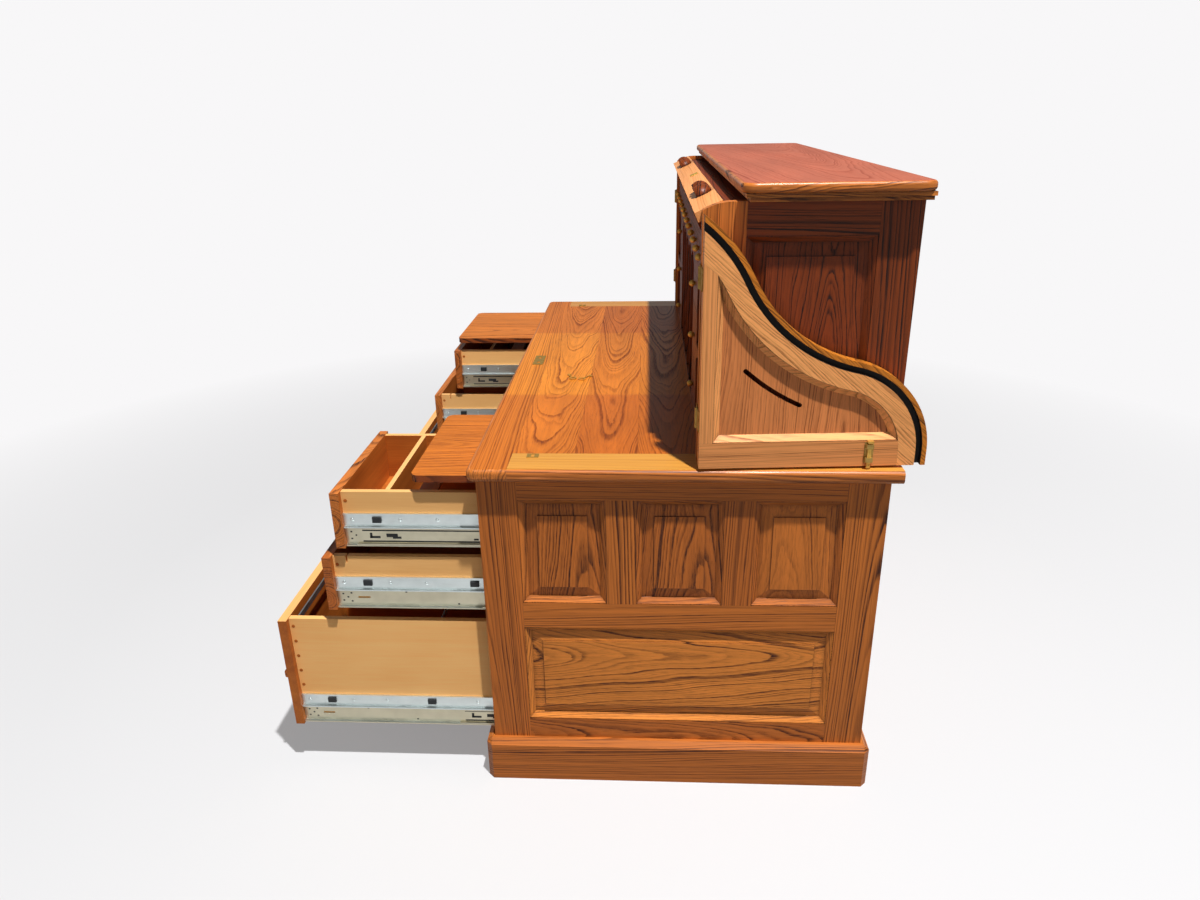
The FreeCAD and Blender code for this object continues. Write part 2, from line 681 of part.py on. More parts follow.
def lobe(x, y, z, radii):
    """A rounded half shape that stands out towards -Y: its radii are along Z, X and Y."""
    shape = doc.addObject("Part::Ellipsoid", "Lobe")
    for index, radius in enumerate(radii, start=1):
        bind(shape, f"Radius{index}", radius)
    for angle, value in (("Angle1", "-90"), ("Angle2", "90"), ("Angle3", "360")):
        bind(shape, angle, value)
    for axis, text in zip("xyz", (x, y, z)):
        bind(shape, f"Placement.Base.{axis}", text)
    return shape


def carved_pull(x, y, z):
    """A cup pull carved in three lobes, the middle one tallest, and open below for the fingers."""
    lobes = []
    for step, depth in ((-1, "pull_depth * 0.82"), (0, "pull_depth"), (1, "pull_depth * 0.82")):
        lobes.append(lobe(f"{x} + {step} * pull_width * 0.275", y, z,
                          ("pull_height / 2", "pull_width * 0.225", depth)))
    hollow = lobe(x, y, f"{z} - pull_wall",
                  ("(pull_height - pull_wall) / 2", "pull_width / 2 - pull_wall", "pull_depth - pull_wall"))
    block = box((f"{x} - pull_width / 2", f"{x} + pull_width / 2"),
                (f"{y} - pull_depth", f"{y} - glue_line"),
                (f"{z} - pull_height / 4", f"{z} + pull_height / 2"))
    return cut(common(joined(lobes), block), hollow)


def bead(x, half, y, z):
    """A rounded strip across a deep drawer front, which makes it look like two."""
    strip = box((f"{x} - {half}", f"{x} + {half}"), (f"{y} - bead_depth", f"{y} - glue_line"),
                (f"{z} - bead_height / 2", f"{z} + bead_height / 2"))
    doc.recompute()
    front = strip.Shape.BoundBox.YMin

    def outer(middle, way):
        return abs(way.x) > 0.9 and abs(middle.y - front) < 0.01
    return eased(strip, ((outer, size("bead_depth") * 0.8),))


def drawer_box(x, half, front, z, length):
    """Sides, back and bottom of a drawer box behind its front."""
    inner = f"{half} - box_side"
    first = f"{front} + glue_line"
    last = f"{front} + {length}"
    parts = [box((f"{x} - {half}", f"{x} - ({inner})"), (first, last), z),
             box((f"{x} + {inner}", f"{x} + {half}"), (first, last), z)]
    across = (f"{x} - ({inner}) + glue_line", f"{x} + {inner} - glue_line")
    parts.append(box(across, (f"{last} - box_side", last), z))
    floor = (f"{z[0]} + box_lift", f"{z[0]} + box_lift + box_bottom")
    parts.append(box(across, (first, f"{last} - box_side - glue_line"), floor))
    return parts


def pedestal_drawer(sign, level, opened):
    """A pedestal drawer with its front, box, carved pull and what it holds."""
    x = "pedestal_x" if sign > 0 else "-pedestal_x"
    bottom, tall = f"{level}_bottom", f"{level}_front"
    half = "(opening_width / 2 - front_gap)"
    front = f"-{opened} + front_thickness"
    z = (f"{bottom} + box_raise", f"{bottom} + {tall} - box_drop")
    parts = [box((f"{x} - {half}", f"{x} + {half}"), (f"-{opened}", front),
                 (bottom, f"{bottom} + {tall}"))]
    sides = drawer_box(x, "slide_box", front, z, "box_length")
    across = (f"{x} - slide_box + box_side + glue_line", f"{x} + slide_box - box_side - glue_line")
    floor = f"{z[0]} + box_lift + box_bottom + glue_line"
    if level == "top":
        low = f"{front} + divider_back"
        parts.append(box(across, (low, f"{low} + divider_thickness"), (floor, z[1])))
        low = f"{front} + ledge_back"
        parts.append(box(across, (low, f"{low} + ledge_width"), (f"{z[1]} - ledge_thickness", z[1])))
    if level == "middle":
        low = f"{front} + slot_back"
        slot = (low, f"{low} + slot_width")
        for index in (0, 1):
            notch = box((f"{x} - slide_box - box_side", f"{x} + slide_box + box_side"), slot,
                        (f"{z[1]} - slot_depth", f"{z[1]} + slot_depth"))
            sides[index] = cut(sides[index], notch)
    if level == "file":
        parts.append(bead(x, half, f"-{opened}", f"{bottom} + {tall} / 2"))
        heights = (f"{bottom} + {tall} / 4", f"{bottom} + {tall} * 3 / 4")
    else:
        heights = (f"{bottom} + {tall} / 2",)
    parts += [carved_pull(x, f"-{opened}", height) for height in heights]
    return parts + sides


def hanging_rails(sign, opened):
    """Two steel bars across the file drawer for hanging folders."""
    x = "pedestal_x" if sign > 0 else "-pedestal_x"
    across = (f"{x} - slide_box + box_side + glue_line", f"{x} + slide_box - box_side - glue_line")
    top = "file_bottom + file_front - box_drop - hanger_thickness"
    parts = []
    for step in ("0", "hanger_spacing"):
        low = f"-{opened} + front_thickness + hanger_back + {step}"
        parts.append(box(across, (low, f"{low} + hanger_thickness"), (f"{top} - hanger_height", top)))
    return parts


def centre_drawer():
    """Shallow drawer over the kneehole, shut."""
    half = "(kneehole_width / 2 - front_gap)"
    parts = [box((f"-{half}", half), ("0", "front_thickness"),
                 ("centre_bottom", "centre_bottom + centre_front"))]
    z = ("centre_bottom + box_raise", "centre_bottom + centre_front - box_drop - box_side")
    parts += drawer_box("0", half, "front_thickness", z, "centre_length")
    for side in ("-stack_centre / 2", "stack_centre / 2"):
        parts.append(carved_pull(side, "0", "centre_bottom + centre_front / 2"))
    return parts


def each_side(x, low, high, sign):
    """A span outside a drawer box on one side of it, measured from the box."""
    return shift(f"{x} {'+' if sign > 0 else '-'} slide_box", low, high, sign)


def drawer_rail_pair(sign, level, opened):
    """Slide rails screwed to both sides of a drawer box."""
    x = "pedestal_x" if sign > 0 else "-pedestal_x"
    low = f"{level}_bottom + box_raise"
    first = f"-{opened} + front_thickness + running_gap"
    y = (first, f"{first} + slide_length")
    rails = []
    for side in (-1, 1):
        plate = box(each_side(x, "glue_line", "slide_plate", side), y, (low, f"{low} + slide_height"))
        bars = []
        for foot in ("0", "slide_channel - slide_lip", "slide_height - slide_lip"):
            reach = "slide_reach / 2" if foot.startswith("slide_height") else "slide_reach"
            bars.append(box(each_side(x, "glue_line", reach, side), y,
                            (f"{low} + {foot}", f"{low} + {foot} + slide_lip")))
        band = box(each_side(x, "glue_line", "slide_reach / 3", side), y,
                   (f"{low} + slide_channel", f"{low} + slide_height"))
        rail = joined([plate, band] + bars)
        slot = box(each_side(x, "0", "slide_plate * 2", side),
                   (f"{first} + slide_channel", f"{first} + slide_channel * 1.6"),
                   (f"{low} + slide_channel / 2 - slide_lip", f"{low} + slide_channel / 2 + slide_lip"))
        rails.append(cut(rail, slot))
    return rails


def middle_rail_pair(sign, level, opened):
    """Rails that run between a drawer's rails and the fixed ones."""
    x = "pedestal_x" if sign > 0 else "-pedestal_x"
    low = f"{level}_bottom + box_raise + slide_lip + running_gap * 2"
    high = f"{level}_bottom + box_raise + slide_channel - slide_lip - running_gap * 2"
    first = f"slide_start - {level}_share * {opened}"
    y = (first, f"{first} + slide_length")
    rails = []
    for side in (-1, 1):
        web = each_side(x, "slide_plate + running_gap * 2", "slide_plate * 2 + running_gap * 2", side)
        wings = each_side(x, "slide_plate + running_gap * 2", "slide_reach - running_gap", side)
        plate = box(web, y, (low, high))
        lips = [box(wings, y, (low, f"{low} + slide_lip")), box(wings, y, (f"{high} - slide_lip", high))]
        rails.append(joined([plate] + lips))
    return rails


def fixed_rail_pairs():
    """Slide rails screwed to the pedestal sides, two for each drawer."""
    rails = []
    y = ("slide_start", "slide_start + slide_length")
    for sign in (-1, 1):
        x = "pedestal_x" if sign > 0 else "-pedestal_x"
        for level in ("file", "middle", "top"):
            low = f"{level}_bottom + box_raise"
            inner = f"{low} + slide_lip * 2 + running_gap * 4"
            outer = f"{low} + slide_channel - slide_lip * 2 - running_gap * 4"
            for side in (-1, 1):
                bar = box(each_side(x, "slide_plate * 2 + running_gap * 4", "box_gap - slide_plate", side),
                          y, (inner, outer))
                plate = box(each_side(x, "box_gap - slide_plate", "box_gap - glue_line / 2", side),
                            y, (low, f"{low} + slide_channel"))
                rails.append(joined([bar, plate]))
    return rails


def writing_board(sign, opened):
    """A pull-out writing board with rounded front corners."""
    x = "pedestal_x" if sign > 0 else "-pedestal_x"
    half = "opening_width / 2 - front_gap"
    low = "slot_bottom + running_gap"
    board = box((f"{x} - ({half})", f"{x} + {half}"), (f"-{opened}", f"-{opened} + board_length"),
                (low, f"{low} + board_thickness"))
    doc.recompute()
    front = board.Shape.BoundBox.YMin

    def front_corner(middle, way):
        return abs(way.z) > 0.9 and abs(middle.y - front) < 0.01
    return [eased(board, ((front_corner, size("board_corner")),))]


# The hutch

FACING_X = FreeCAD.Rotation(V(0, 1, 0), V(0, 0, 1), V(1, 0, 0), "XYZ")


def extruded(curves, turn, base_x, way, thickness, base_y="0", base_z="0"):
    """A flat outline of lines and arcs, drawn in the YZ plane and made solid along X."""
    sketch = doc.addObject("Sketcher::SketchObject", "Outline")
    sketch.addGeometry(curves, False)
    sketch.Placement = FreeCAD.Placement(V(0, 0, 0), turn)
    for axis, text in zip("xyz", (base_x, base_y, base_z)):
        bind(sketch, f"Placement.Base.{axis}", text)
    solid = doc.addObject("Part::Extrusion", "Extruded")
    solid.Base = sketch
    solid.DirMode = "Custom"
    solid.Dir = V(way, 0, 0)
    solid.Solid = True
    bind(solid, "LengthFwd", thickness)
    return solid


def line(first, last):
    """A straight edge of an outline."""
    return Part.LineSegment(V(first[0], first[1], 0), V(last[0], last[1], 0))


def arc(centre, radius, start, end):
    """A round edge of an outline, counter-clockwise between two angles in degrees."""
    circle = Part.Circle(V(centre[0], centre[1], 0), V(0, 0, 1), radius)
    return Part.ArcOfCircle(circle, math.radians(start), math.radians(end))


def on_circle(centre, radius, angle):
    """The point of a circle at an angle in degrees."""
    turn = math.radians(angle)
    return (centre[0] + radius * math.cos(turn), centre[1] + radius * math.sin(turn))


def horned_stile(base_x):
    """Front upright of a hutch side, whose top follows the curtain over the front."""
    front, back = place("hutch_front"), place("hutch_front") + size("hutch_front_stile")
    low, top = place("desk_top") + size("glue_line"), place("hutch_top")
    centre = (place("roll_y"), place("roll_z") - size("roll_radius"))
    radius = size("roll_radius") + place("horn_offset")
    start = 90 + math.degrees(math.asin((centre[0] - front) / radius))
    shoulder = on_circle(centre, radius, start)
    curves = [line((front, low), (back, low)), line((back, low), (back, top)),
              line((back, top), (centre[0], top)), arc(centre, radius, 90, start),
              line(shoulder, (front, low))]
    return extruded(curves, FACING_X, base_x, 1, "hutch_side")


def hutch_sides():
    """Both framed sides of the hutch, each with one raised panel."""
    parts = []
    z = ("desk_top + glue_line", "hutch_top")
    inner = ("hutch_front + hutch_front_stile", "hutch_back - hutch_back_stile")
    upper = ("desk_top + hutch_low_rail", "hutch_top - hutch_top_rail")
    depth = ("0", "hutch_side")
    for facing, face in (("-x", "-hutch_half"), ("+x", "hutch_half")):
        parts.append(horned_stile("hutch_inner" if facing == "+x" else "-hutch_half"))
        parts.append(layer(facing, face, (inner[1], "hutch_back"), z, depth))
        parts.append(layer(facing, face, tight(inner), (upper[1], z[1]), depth))
        parts.append(layer(facing, face, tight(inner), (z[0], upper[0]), depth))
        parts += panel_bay(facing, face, inner, upper)
    return parts


def hutch_back():
    """Back of the hutch between its sides: three framed panels."""
    edge = "hutch_inner - glue_line"
    depth = ("0", "side_thickness")
    z = ("desk_top + glue_line", "hutch_top")
    inner = (f"-({edge}) + mullion_width", f"{edge} - mullion_width")
    upper = ("desk_top + hutch_low_rail", "hutch_top - hutch_top_rail")
    parts = [layer("+y", "hutch_back", (f"-({edge})", inner[0]), z, depth),
             layer("+y", "hutch_back", (inner[1], edge), z, depth),
             layer("+y", "hutch_back", tight(inner), (z[0], upper[0]), depth),
             layer("+y", "hutch_back", tight(inner), (upper[1], z[1]), depth)]
    bays, posts = row_of_bays(inner[0], inner[1], UPPER_PANELS)
    parts += [layer("+y", "hutch_back", post, tight(upper), depth) for post in posts]
    for bay in bays:
        parts += panel_bay("+y", "hutch_back", bay, upper)
    return parts


def hutch_top():
    """Top board of the hutch over a moulding in two steps."""
    parts = []
    top = "hutch_top + glue_line + 2 * top_step"
    for index in (0, 1, 2):
        inset = f"{2 - index} * step_inset"
        x = (f"-hutch_half - top_end_overhang + {inset}", f"hutch_half + top_end_overhang - {inset}")
        y = (f"hinge_y + top_setback + {inset}", f"hutch_back + top_back_overhang - {inset} / 4")
        low = f"hutch_top + glue_line + {index} * top_step"
        high = f"{top} + top_thickness" if index == 2 else f"{low} + top_step - glue_line"
        parts.append(box(x, y, (low, high)))
    slab = parts.pop()
    rounded = eased(slab, ((lambda middle, way: abs(way.z) > 0.9, size("top_corner")),))
    parts.append(eased(rounded, ((lambda middle, way: abs(way.z) < 0.9, size("top_rounding")),)))
    return parts


def curtain_spot(along):
    """Where the inner face of the curtain runs, from the hinge line: place and slope."""
    half = size("slat_thickness") / 2
    roll, drop = size("roll_radius") - half, size("drop_radius") - half
    lead = math.radians(size("lead_angle"))
    centre = (place("roll_y"), place("roll_z") - size("roll_radius"))
    back_centre = (place("curtain_back") - size("drop_radius"), place("roll_z") - size("drop_radius"))
    first = roll * lead
    second = first + back_centre[0] - centre[0]
    third = second + drop * math.pi / 2
    if along < first:
        angle = lead - along / roll
        return V(0, centre[0] - roll * math.sin(angle), centre[1] + roll * math.cos(angle)), angle
    if along < second:
        return V(0, centre[0] + along - first, centre[1] + roll), 0
    if along < third:
        angle = (along - second) / drop
        spot = V(0, back_centre[0] + drop * math.sin(angle), back_centre[1] + drop * math.cos(angle))
        return spot, -angle
    return V(0, back_centre[0] + drop, back_centre[1] - (along - third)), -math.pi / 2


def curtain_strip(first, last, thickness):
    """One slat or rail, flat on the curtain's tracks between two distances along them."""
    spot, slope = curtain_spot((first + last) / 2)
    turn = FreeCAD.Rotation(V(1, 0, 0), math.degrees(slope))
    strip = doc.addObject("Part::Box", "Slat")
    bind(strip, "Length", "2 * (hutch_inner - curtain_end_gap)")
    strip.Width = last - first
    bind(strip, "Height", thickness)
    strip.Placement = FreeCAD.Placement(spot - turn.multVec(V(0, (last - first) / 2, 0)), turn)
    bind(strip, "Placement.Base.x", "curtain_end_gap - hutch_inner")
    return strip


def curtain_length():
    """Length of the groove in a wing, which the curtain covers when it is down."""
    lead, steep, shallow = (math.radians(size(name)) for name in
                            ("lead_angle", "steep_angle", "shallow_angle"))
    bends = (size("upper_radius") * (steep - lead) + size("hollow_radius") * (steep - shallow)
             + size("nose_radius") * (math.pi / 2 - shallow))
    return bends + size("groove_foot")


def tambour_slats():
    """Slats of the curtain behind the lift rail, rolled up into the hutch."""
    first = size("lift_rail_width") - size("lift_rail_lead") + size("slat_gap")
    pitch, gap = size("slat_pitch"), size("slat_gap")
    count = int((curtain_length() - first) / pitch)
    return [curtain_strip(first + index * pitch, first + (index + 1) * pitch - gap, "slat_thickness")
            for index in range(count)]


def lift_rail():
    """Bottom rail of the curtain with its two carved handles."""
    last = size("lift_rail_width") - size("lift_rail_lead")
    parts = [curtain_strip(-size("lift_rail_lead"), last, "lift_rail_thickness")]
    spot, slope = curtain_spot((last - size("lift_rail_lead")) / 2)
    turn = FreeCAD.Rotation(V(1, 0, 0), math.degrees(slope) - 90)
    middle = spot + turn.multVec(V(0, -size("lift_rail_thickness"), 0))
    for side in ("-handle_spacing / 2", "handle_spacing / 2"):
        holder = doc.addObject("Part::Compound", "Handle")
        holder.Links = [carved_pull("0", "0", "0")]
        holder.Placement = FreeCAD.Placement(middle, turn)
        bind(holder, "Placement.Base.x", side)
        parts.append(holder)
    return parts


def tambour_tracks():
    """Curved wooden tracks under the ends of the slats, one on each hutch side."""
    near = size("slat_thickness") / 2 + size("running_gap")
    far = near + size("track_depth")
    top, back = place("roll_z"), place("curtain_back")
    roll, drop = size("roll_radius"), size("drop_radius")
    foot = place("desk_top") + size("hutch_low_rail")
    front = (place("roll_y"), top - roll)
    rear = (back - drop, top - drop)
    lip = 90 + size("track_front_angle")
    tips = [on_circle(front, roll - depth, lip) for depth in (near, far)]
    curves = [arc(front, roll - near, 90, lip), line((front[0], top - near), (rear[0], top - near)),
              arc(rear, drop - near, 0, 90), line((back - near, rear[1]), (back - near, foot)),
              line((back - near, foot), (back - far, foot)), line((back - far, foot), (back - far, rear[1])),
              arc(rear, drop - far, 0, 90), line((rear[0], top - far), (front[0], top - far)),
              arc(front, roll - far, 90, lip), line(tips[0], tips[1])]
    return [extruded(curves, FACING_X, base_x, 1, "track_width")
            for base_x in ("hutch_inner - glue_line - track_width", "glue_line - hutch_inner")]


# The pigeonhole case

def case_columns():
    """Spans of the two outer bays, the two drawer stacks and the centre bay."""
    spans = {"centre": ("-stack_centre + stack_width / 2", "stack_centre - stack_width / 2")}
    for side, sign in (("left", -1), ("right", 1)):
        spans[side + "_stack"] = shift("0", "stack_centre - stack_width / 2",
                                       "stack_centre + stack_width / 2", sign)
        spans[side + "_bay"] = shift("0", "stack_centre + stack_width / 2",
                                     "case_half - case_board", sign)
    return spans


def stack_height(index):
    """Span of one drawer space in a stack."""
    pitch = f"((stack_top - stack_bottom + case_shelf) / {STACK_DRAWERS})"
    low = f"stack_bottom + {index} * {pitch}"
    return (low, f"{low} + {pitch} - case_shelf")


def row_span(index):
    """Span of one drawer space in the upper row."""
    pitch = f"((2 * case_half - 2 * case_board + case_shelf) / {TOP_DRAWERS})"
    low = f"case_board - case_half + {index} * {pitch}"
    return (low, f"{low} + {pitch} - case_shelf")


def valance(span, top):
    """A thin board with an arch cut in it, at the head of a pigeonhole."""
    board = box(tight(span), ("case_front", "case_front + valance_thickness"),
                (f"{top} - valance_height", f"{top} - glue_line"))
    width = f"(({span[1]}) - ({span[0]}))"
    rise = "(valance_height * 0.7)"
    radius = f"({width} * {width} * 0.2 / {rise} / 2 + {rise} / 2)"
    middle = f"(({span[0]}) + ({span[1]})) / 2"
    arch = cylinder(radius, "valance_thickness * 3",
                    (middle, "case_front - valance_thickness", f"{top} - valance_height + {rise} - {radius}"),
                    ALONG_Y)
    return cut(board, arch)


def pigeonhole_case():
    """Shelves, partitions and valances of the fitted case inside the hutch."""
    y = ("case_front", "case_back")
    inside = ("case_board - case_half", "case_half - case_board")
    parts = [box(("-case_half", "case_half"), y, ("case_bottom", "stack_bottom - glue_line")),
             box(("-case_half", "case_half"), y, ("row_top + glue_line", "case_top"))]
    for sign in (-1, 1):
        parts.append(box(shift("0", "case_half - case_board + glue_line", "case_half", sign), y,
                         ("stack_bottom", "row_top")))
    parts.append(box(inside, ("case_back + glue_line", "case_back + case_shelf"),
                     ("case_bottom", "case_top")))
    parts.append(box(inside, y, ("stack_top + glue_line", "row_bottom - glue_line")))
    for index in range(TOP_DRAWERS - 1):
        edge = row_span(index)[1]
        parts.append(box((f"{edge} + glue_line", f"{edge} + case_shelf - glue_line"), y,
                         ("row_bottom", "row_top")))
    spans = case_columns()
    upright = ("stack_bottom", "stack_top")
    for side in ("left_stack", "right_stack"):
        low, high = spans[side]
        parts.append(box((f"{low} - case_shelf / 2", f"{low} + case_shelf / 2"), y, upright))
        parts.append(box((f"{high} - case_shelf / 2", f"{high} + case_shelf / 2"), y, upright))
        inner = (f"{low} + case_shelf / 2 + glue_line", f"{high} - case_shelf / 2 - glue_line")
        for index in range(STACK_DRAWERS - 1):
            top = stack_height(index)[1]
            parts.append(box(inner, y, (f"{top} + glue_line", f"{top} + case_shelf - glue_line")))
    parts += centre_holes(spans["centre"], y, upright)
    for side in ("left_bay", "right_bay"):
        parts += outer_bay(spans[side], y, side == "left_bay")
    return parts


def hole_span(span, index):
    """Span of one of the upright pigeonholes in the centre bay."""
    pitch = f"((({span[1]}) - ({span[0]})) / {CENTRE_HOLES})"
    low = f"{span[0]} + {index} * {pitch}"
    return (f"{low} + case_shelf / 2", f"{low} + {pitch} - case_shelf / 2")


def centre_holes(span, y, z):
    """Partitions and valances of the centre bay."""
    parts = []
    for index in range(CENTRE_HOLES):
        hole = hole_span(span, index)
        parts.append(valance(hole, "stack_top"))
        if index:
            parts.append(box((f"{hole[0]} - case_shelf", hole[0]), y, z))
    return parts


def bay_span(span, left):
    """Clear span of an outer bay, inside the stack's partition."""
    if left:
        return (span[0], f"{span[1]} - case_shelf / 2")
    return (f"{span[0]} + case_shelf / 2", span[1])


def outer_bay(span, y, left):
    """One shelf and two valances in an outer bay."""
    clear = bay_span(span, left)
    middle = "(stack_bottom + stack_top) / 2"
    shelf = box(tight(clear), y, (f"{middle} - case_shelf / 2", f"{middle} + case_shelf / 2"))
    return [shelf, valance(clear, "stack_top"), valance(clear, f"{middle} - case_shelf / 2")]


def knob(x, y, z):
    """A small turned brass knob."""
    foot = (x, f"{y} - knob_length / 2 - glue_line", z)
    stem = cylinder("knob_radius / 2", "knob_length / 2", foot, ALONG_Y)
    head = doc.addObject("Part::Sphere", "Head")
    bind(head, "Radius", "knob_radius")
    for axis, text in zip("xyz", (x, f"{y} - knob_length + knob_radius - glue_line", z)):
        bind(head, f"Placement.Base.{axis}", text)
    return joined([stem, head])


def small_drawer(span, z, knobs):
    """A small drawer of the case, shut, with its knobs."""
    x = (f"{span[0]} + small_gap", f"{span[1]} - small_gap")
    z = (f"{z[0]} + small_gap", f"{z[1]} - small_gap")
    first, last = "case_front + small_front", "case_front + small_length"
    inner = (f"{x[0]} + small_side", f"{x[1]} - small_side")
    walls = (f"{first} + glue_line", last)
    parts = [box(x, ("case_front", first), z),
             box((x[0], inner[0]), walls, z), box((inner[1], x[1]), walls, z),
             box(tight(inner), (f"{last} - small_side", last), z),
             box(tight(inner), (walls[0], f"{last} - small_side - glue_line"),
                 (z[0], f"{z[0]} + small_floor"))]
    for share in knobs:
        middle = f"({x[0]}) + (({x[1]}) - ({x[0]})) * {share}"
        parts.append(knob(middle, "case_front", f"(({z[0]}) + ({z[1]})) / 2"))
    return parts


# The wings

FACING_SHUT = FreeCAD.Rotation(V(0, -1, 0), V(0, 0, 1), V(-1, 0, 0), "XYZ")


def away(angle):
    """Unit step square to the groove, up and forwards, where it slopes down at an angle."""
    turn = math.radians(angle)
    return (math.sin(turn), math.cos(turn))


def step(point, angle, distance):
    """A point moved square to the groove."""
    unit = away(angle)
    return (point[0] + unit[0] * distance, point[1] + unit[1] * distance)


def groove_centres():
    """Centres of the groove's three bends: forwards from the hinge line, and up."""
    steep, shallow = size("steep_angle"), size("shallow_angle")
    start = (0, place("groove_height"))
    upper = step(start, size("lead_angle"), -size("upper_radius"))
    first = step(upper, steep, size("upper_radius"))
    hollow = step(first, steep, size("hollow_radius"))
    second = step(hollow, shallow, -size("hollow_radius"))
    nose = step(second, shallow, -size("nose_radius"))
    return upper, hollow, nose


UPPER, HOLLOW, NOSE = groove_centres()


def upper_bend(offset, start, end):
    """Part of the first bend, between two slopes."""
    return arc(UPPER, size("upper_radius") + offset, 90 - end, 90 - start)


def hollow_bend(offset, start, end):
    """Part of the hollow bend, between a steep slope and a shallower one."""
    return arc(HOLLOW, size("hollow_radius") - offset, 270 - start, 270 - end)


def nose_angle(offset, height):
    """Angle of the last bend at a height."""
    return math.degrees(math.asin((height - NOSE[1]) / (size("nose_radius") + offset)))


def nose_bend(offset, start=0):
    """The last bend, from an angle up."""
    return arc(NOSE, size("nose_radius") + offset, start, 90 - size("shallow_angle"))


def upper_slope(offset, forward):
    """Slope of the first bend where it is some way in front of the hinge line."""
    return math.degrees(math.asin((forward - UPPER[0]) / (size("upper_radius") + offset)))


def upper_point(offset, slope):
    """Point of the first bend at a slope."""
    return on_circle(UPPER, size("upper_radius") + offset, 90 - slope)


def hollow_point(offset, slope):
    """Point of the hollow bend at a slope."""
    return on_circle(HOLLOW, size("hollow_radius") - offset, 270 - slope)


def foot_x(offset):
    """How far forward the straight foot of the groove lies."""
    return NOSE[0] + size("nose_radius") + offset


def band(low, high, start, foot):
    """Outline of a strip that follows the groove between two offsets, down to a height."""
    steep, shallow = size("steep_angle"), size("shallow_angle")
    curves = []
    for offset in (high, low):
        slope = upper_slope(offset, start)
        curves += [upper_bend(offset, slope, steep), hollow_bend(offset, steep, shallow), nose_bend(offset)]
        curves.append(line((foot_x(offset), NOSE[1]), (foot_x(offset), foot)))
    curves.append(line((foot_x(low), foot), (foot_x(high), foot)))
    ends = [upper_point(offset, upper_slope(offset, start)) for offset in (low, high)]
    curves.append(line(ends[0], ends[1]))
    return curves


def bay_outline(offset, left, bottom):
    """Outline of the wing's panel opening, drawn in by an offset from the groove."""
    steep, shallow = size("steep_angle"), size("shallow_angle")
    ratio = (HOLLOW[0] - left) / (size("hollow_radius") - offset)
    slope = math.degrees(math.asin(min(ratio, 1)))
    if left < upper_point(offset, steep)[0]:
        slope = upper_slope(offset, left)
        start = upper_point(offset, slope)
        bends = [upper_bend(offset, slope, steep), hollow_bend(offset, steep, shallow)]
    else:
        start = hollow_point(offset, slope)
        split = slope - (slope - shallow) / 8
        bends = [hollow_bend(offset, slope, split), hollow_bend(offset, split, shallow)]
    foot = nose_angle(offset, bottom)
    end = on_circle(NOSE, size("nose_radius") + offset, foot)
    return bends + [nose_bend(offset, foot), line(end, (left, bottom)), line((left, bottom), start)]


def wing_solid(side, curves, low, high):
    """A flat piece of a wing in its shut pose, between two depths behind its outer face."""
    base = f"{'-' if side > 0 else ''}(hinge_standoff + {low})"
    return extruded(curves, FACING_SHUT, base, -side, f"({high}) - ({low})")


def wing_box(side, forward, up, depth):
    """A plain board of a wing in its shut pose."""
    x = shift("0", f"hinge_standoff + {depth[0]}", f"hinge_standoff + {depth[1]}", -side)
    return box(x, (f"-({forward[1]})", f"-({forward[0]})"), up)


def polygon(points):
    """Straight edges round a list of points."""
    return [line(first, last) for first, last in zip(points, points[1:] + points[:1])]


def wing_frame(side):
    """Bottom rail, hinge stile, grooved curved rail and panel moulding of a wing."""
    start = size("hinge_leaf") + size("running_gap")
    glue, gap = size("glue_line"), size("wing_gap")
    rail_top = gap + size("wing_rail")
    edge = size("groove_width") / 2
    inner, outer = -edge - size("curved_rail"), edge + size("groove_strip")
    stile, stile_top = size("wing_stile"), place("groove_height") - size("wing_stile_top")
    steep, shallow = size("steep_angle"), size("shallow_angle")
    throat = upper_slope(inner, stile)
    notch = upper_point(inner, throat)
    end = nose_angle(inner - glue, rail_top - glue)
    low, tip = (foot_x(inner - glue), gap), on_circle(NOSE, size("nose_radius") + inner - glue, end)
    rail = wing_solid(side, [line((start, gap), low), line(low, (low[0], NOSE[1])),
                             arc(NOSE, size("nose_radius") + inner - glue, 0, end),
                             line(tip, (start, rail_top - glue)),
                             line((start, rail_top - glue), (start, gap))],
                      "0", "hutch_side")
    post = wing_solid(side, polygon([(start, rail_top), (stile, rail_top), (stile, notch[1] - glue),
                                     (start, stile_top - glue)]), "0", "hutch_side")
    top = upper_slope(outer, start)
    curves = [upper_bend(outer, top, steep), hollow_bend(outer, steep, shallow), nose_bend(outer),
              line((foot_x(outer), NOSE[1]), (foot_x(outer), gap)),
              line((foot_x(outer), gap), (foot_x(inner), gap)),
              line((foot_x(inner), gap), (foot_x(inner), NOSE[1])), nose_bend(inner),
              hollow_bend(inner, steep, shallow), upper_bend(inner, throat, steep),
              line(notch, (start, stile_top)), line((start, stile_top), upper_point(outer, top))]
    arch = wing_solid(side, curves, "0", "hutch_side")
    groove = wing_solid(side, band(-edge, edge, start - 2, gap - 2),
                        "hutch_side - groove_depth", "hutch_side + 2")
    return [rail, post, cut(arch, groove), wing_moulding(side, inner, stile, rail_top)]


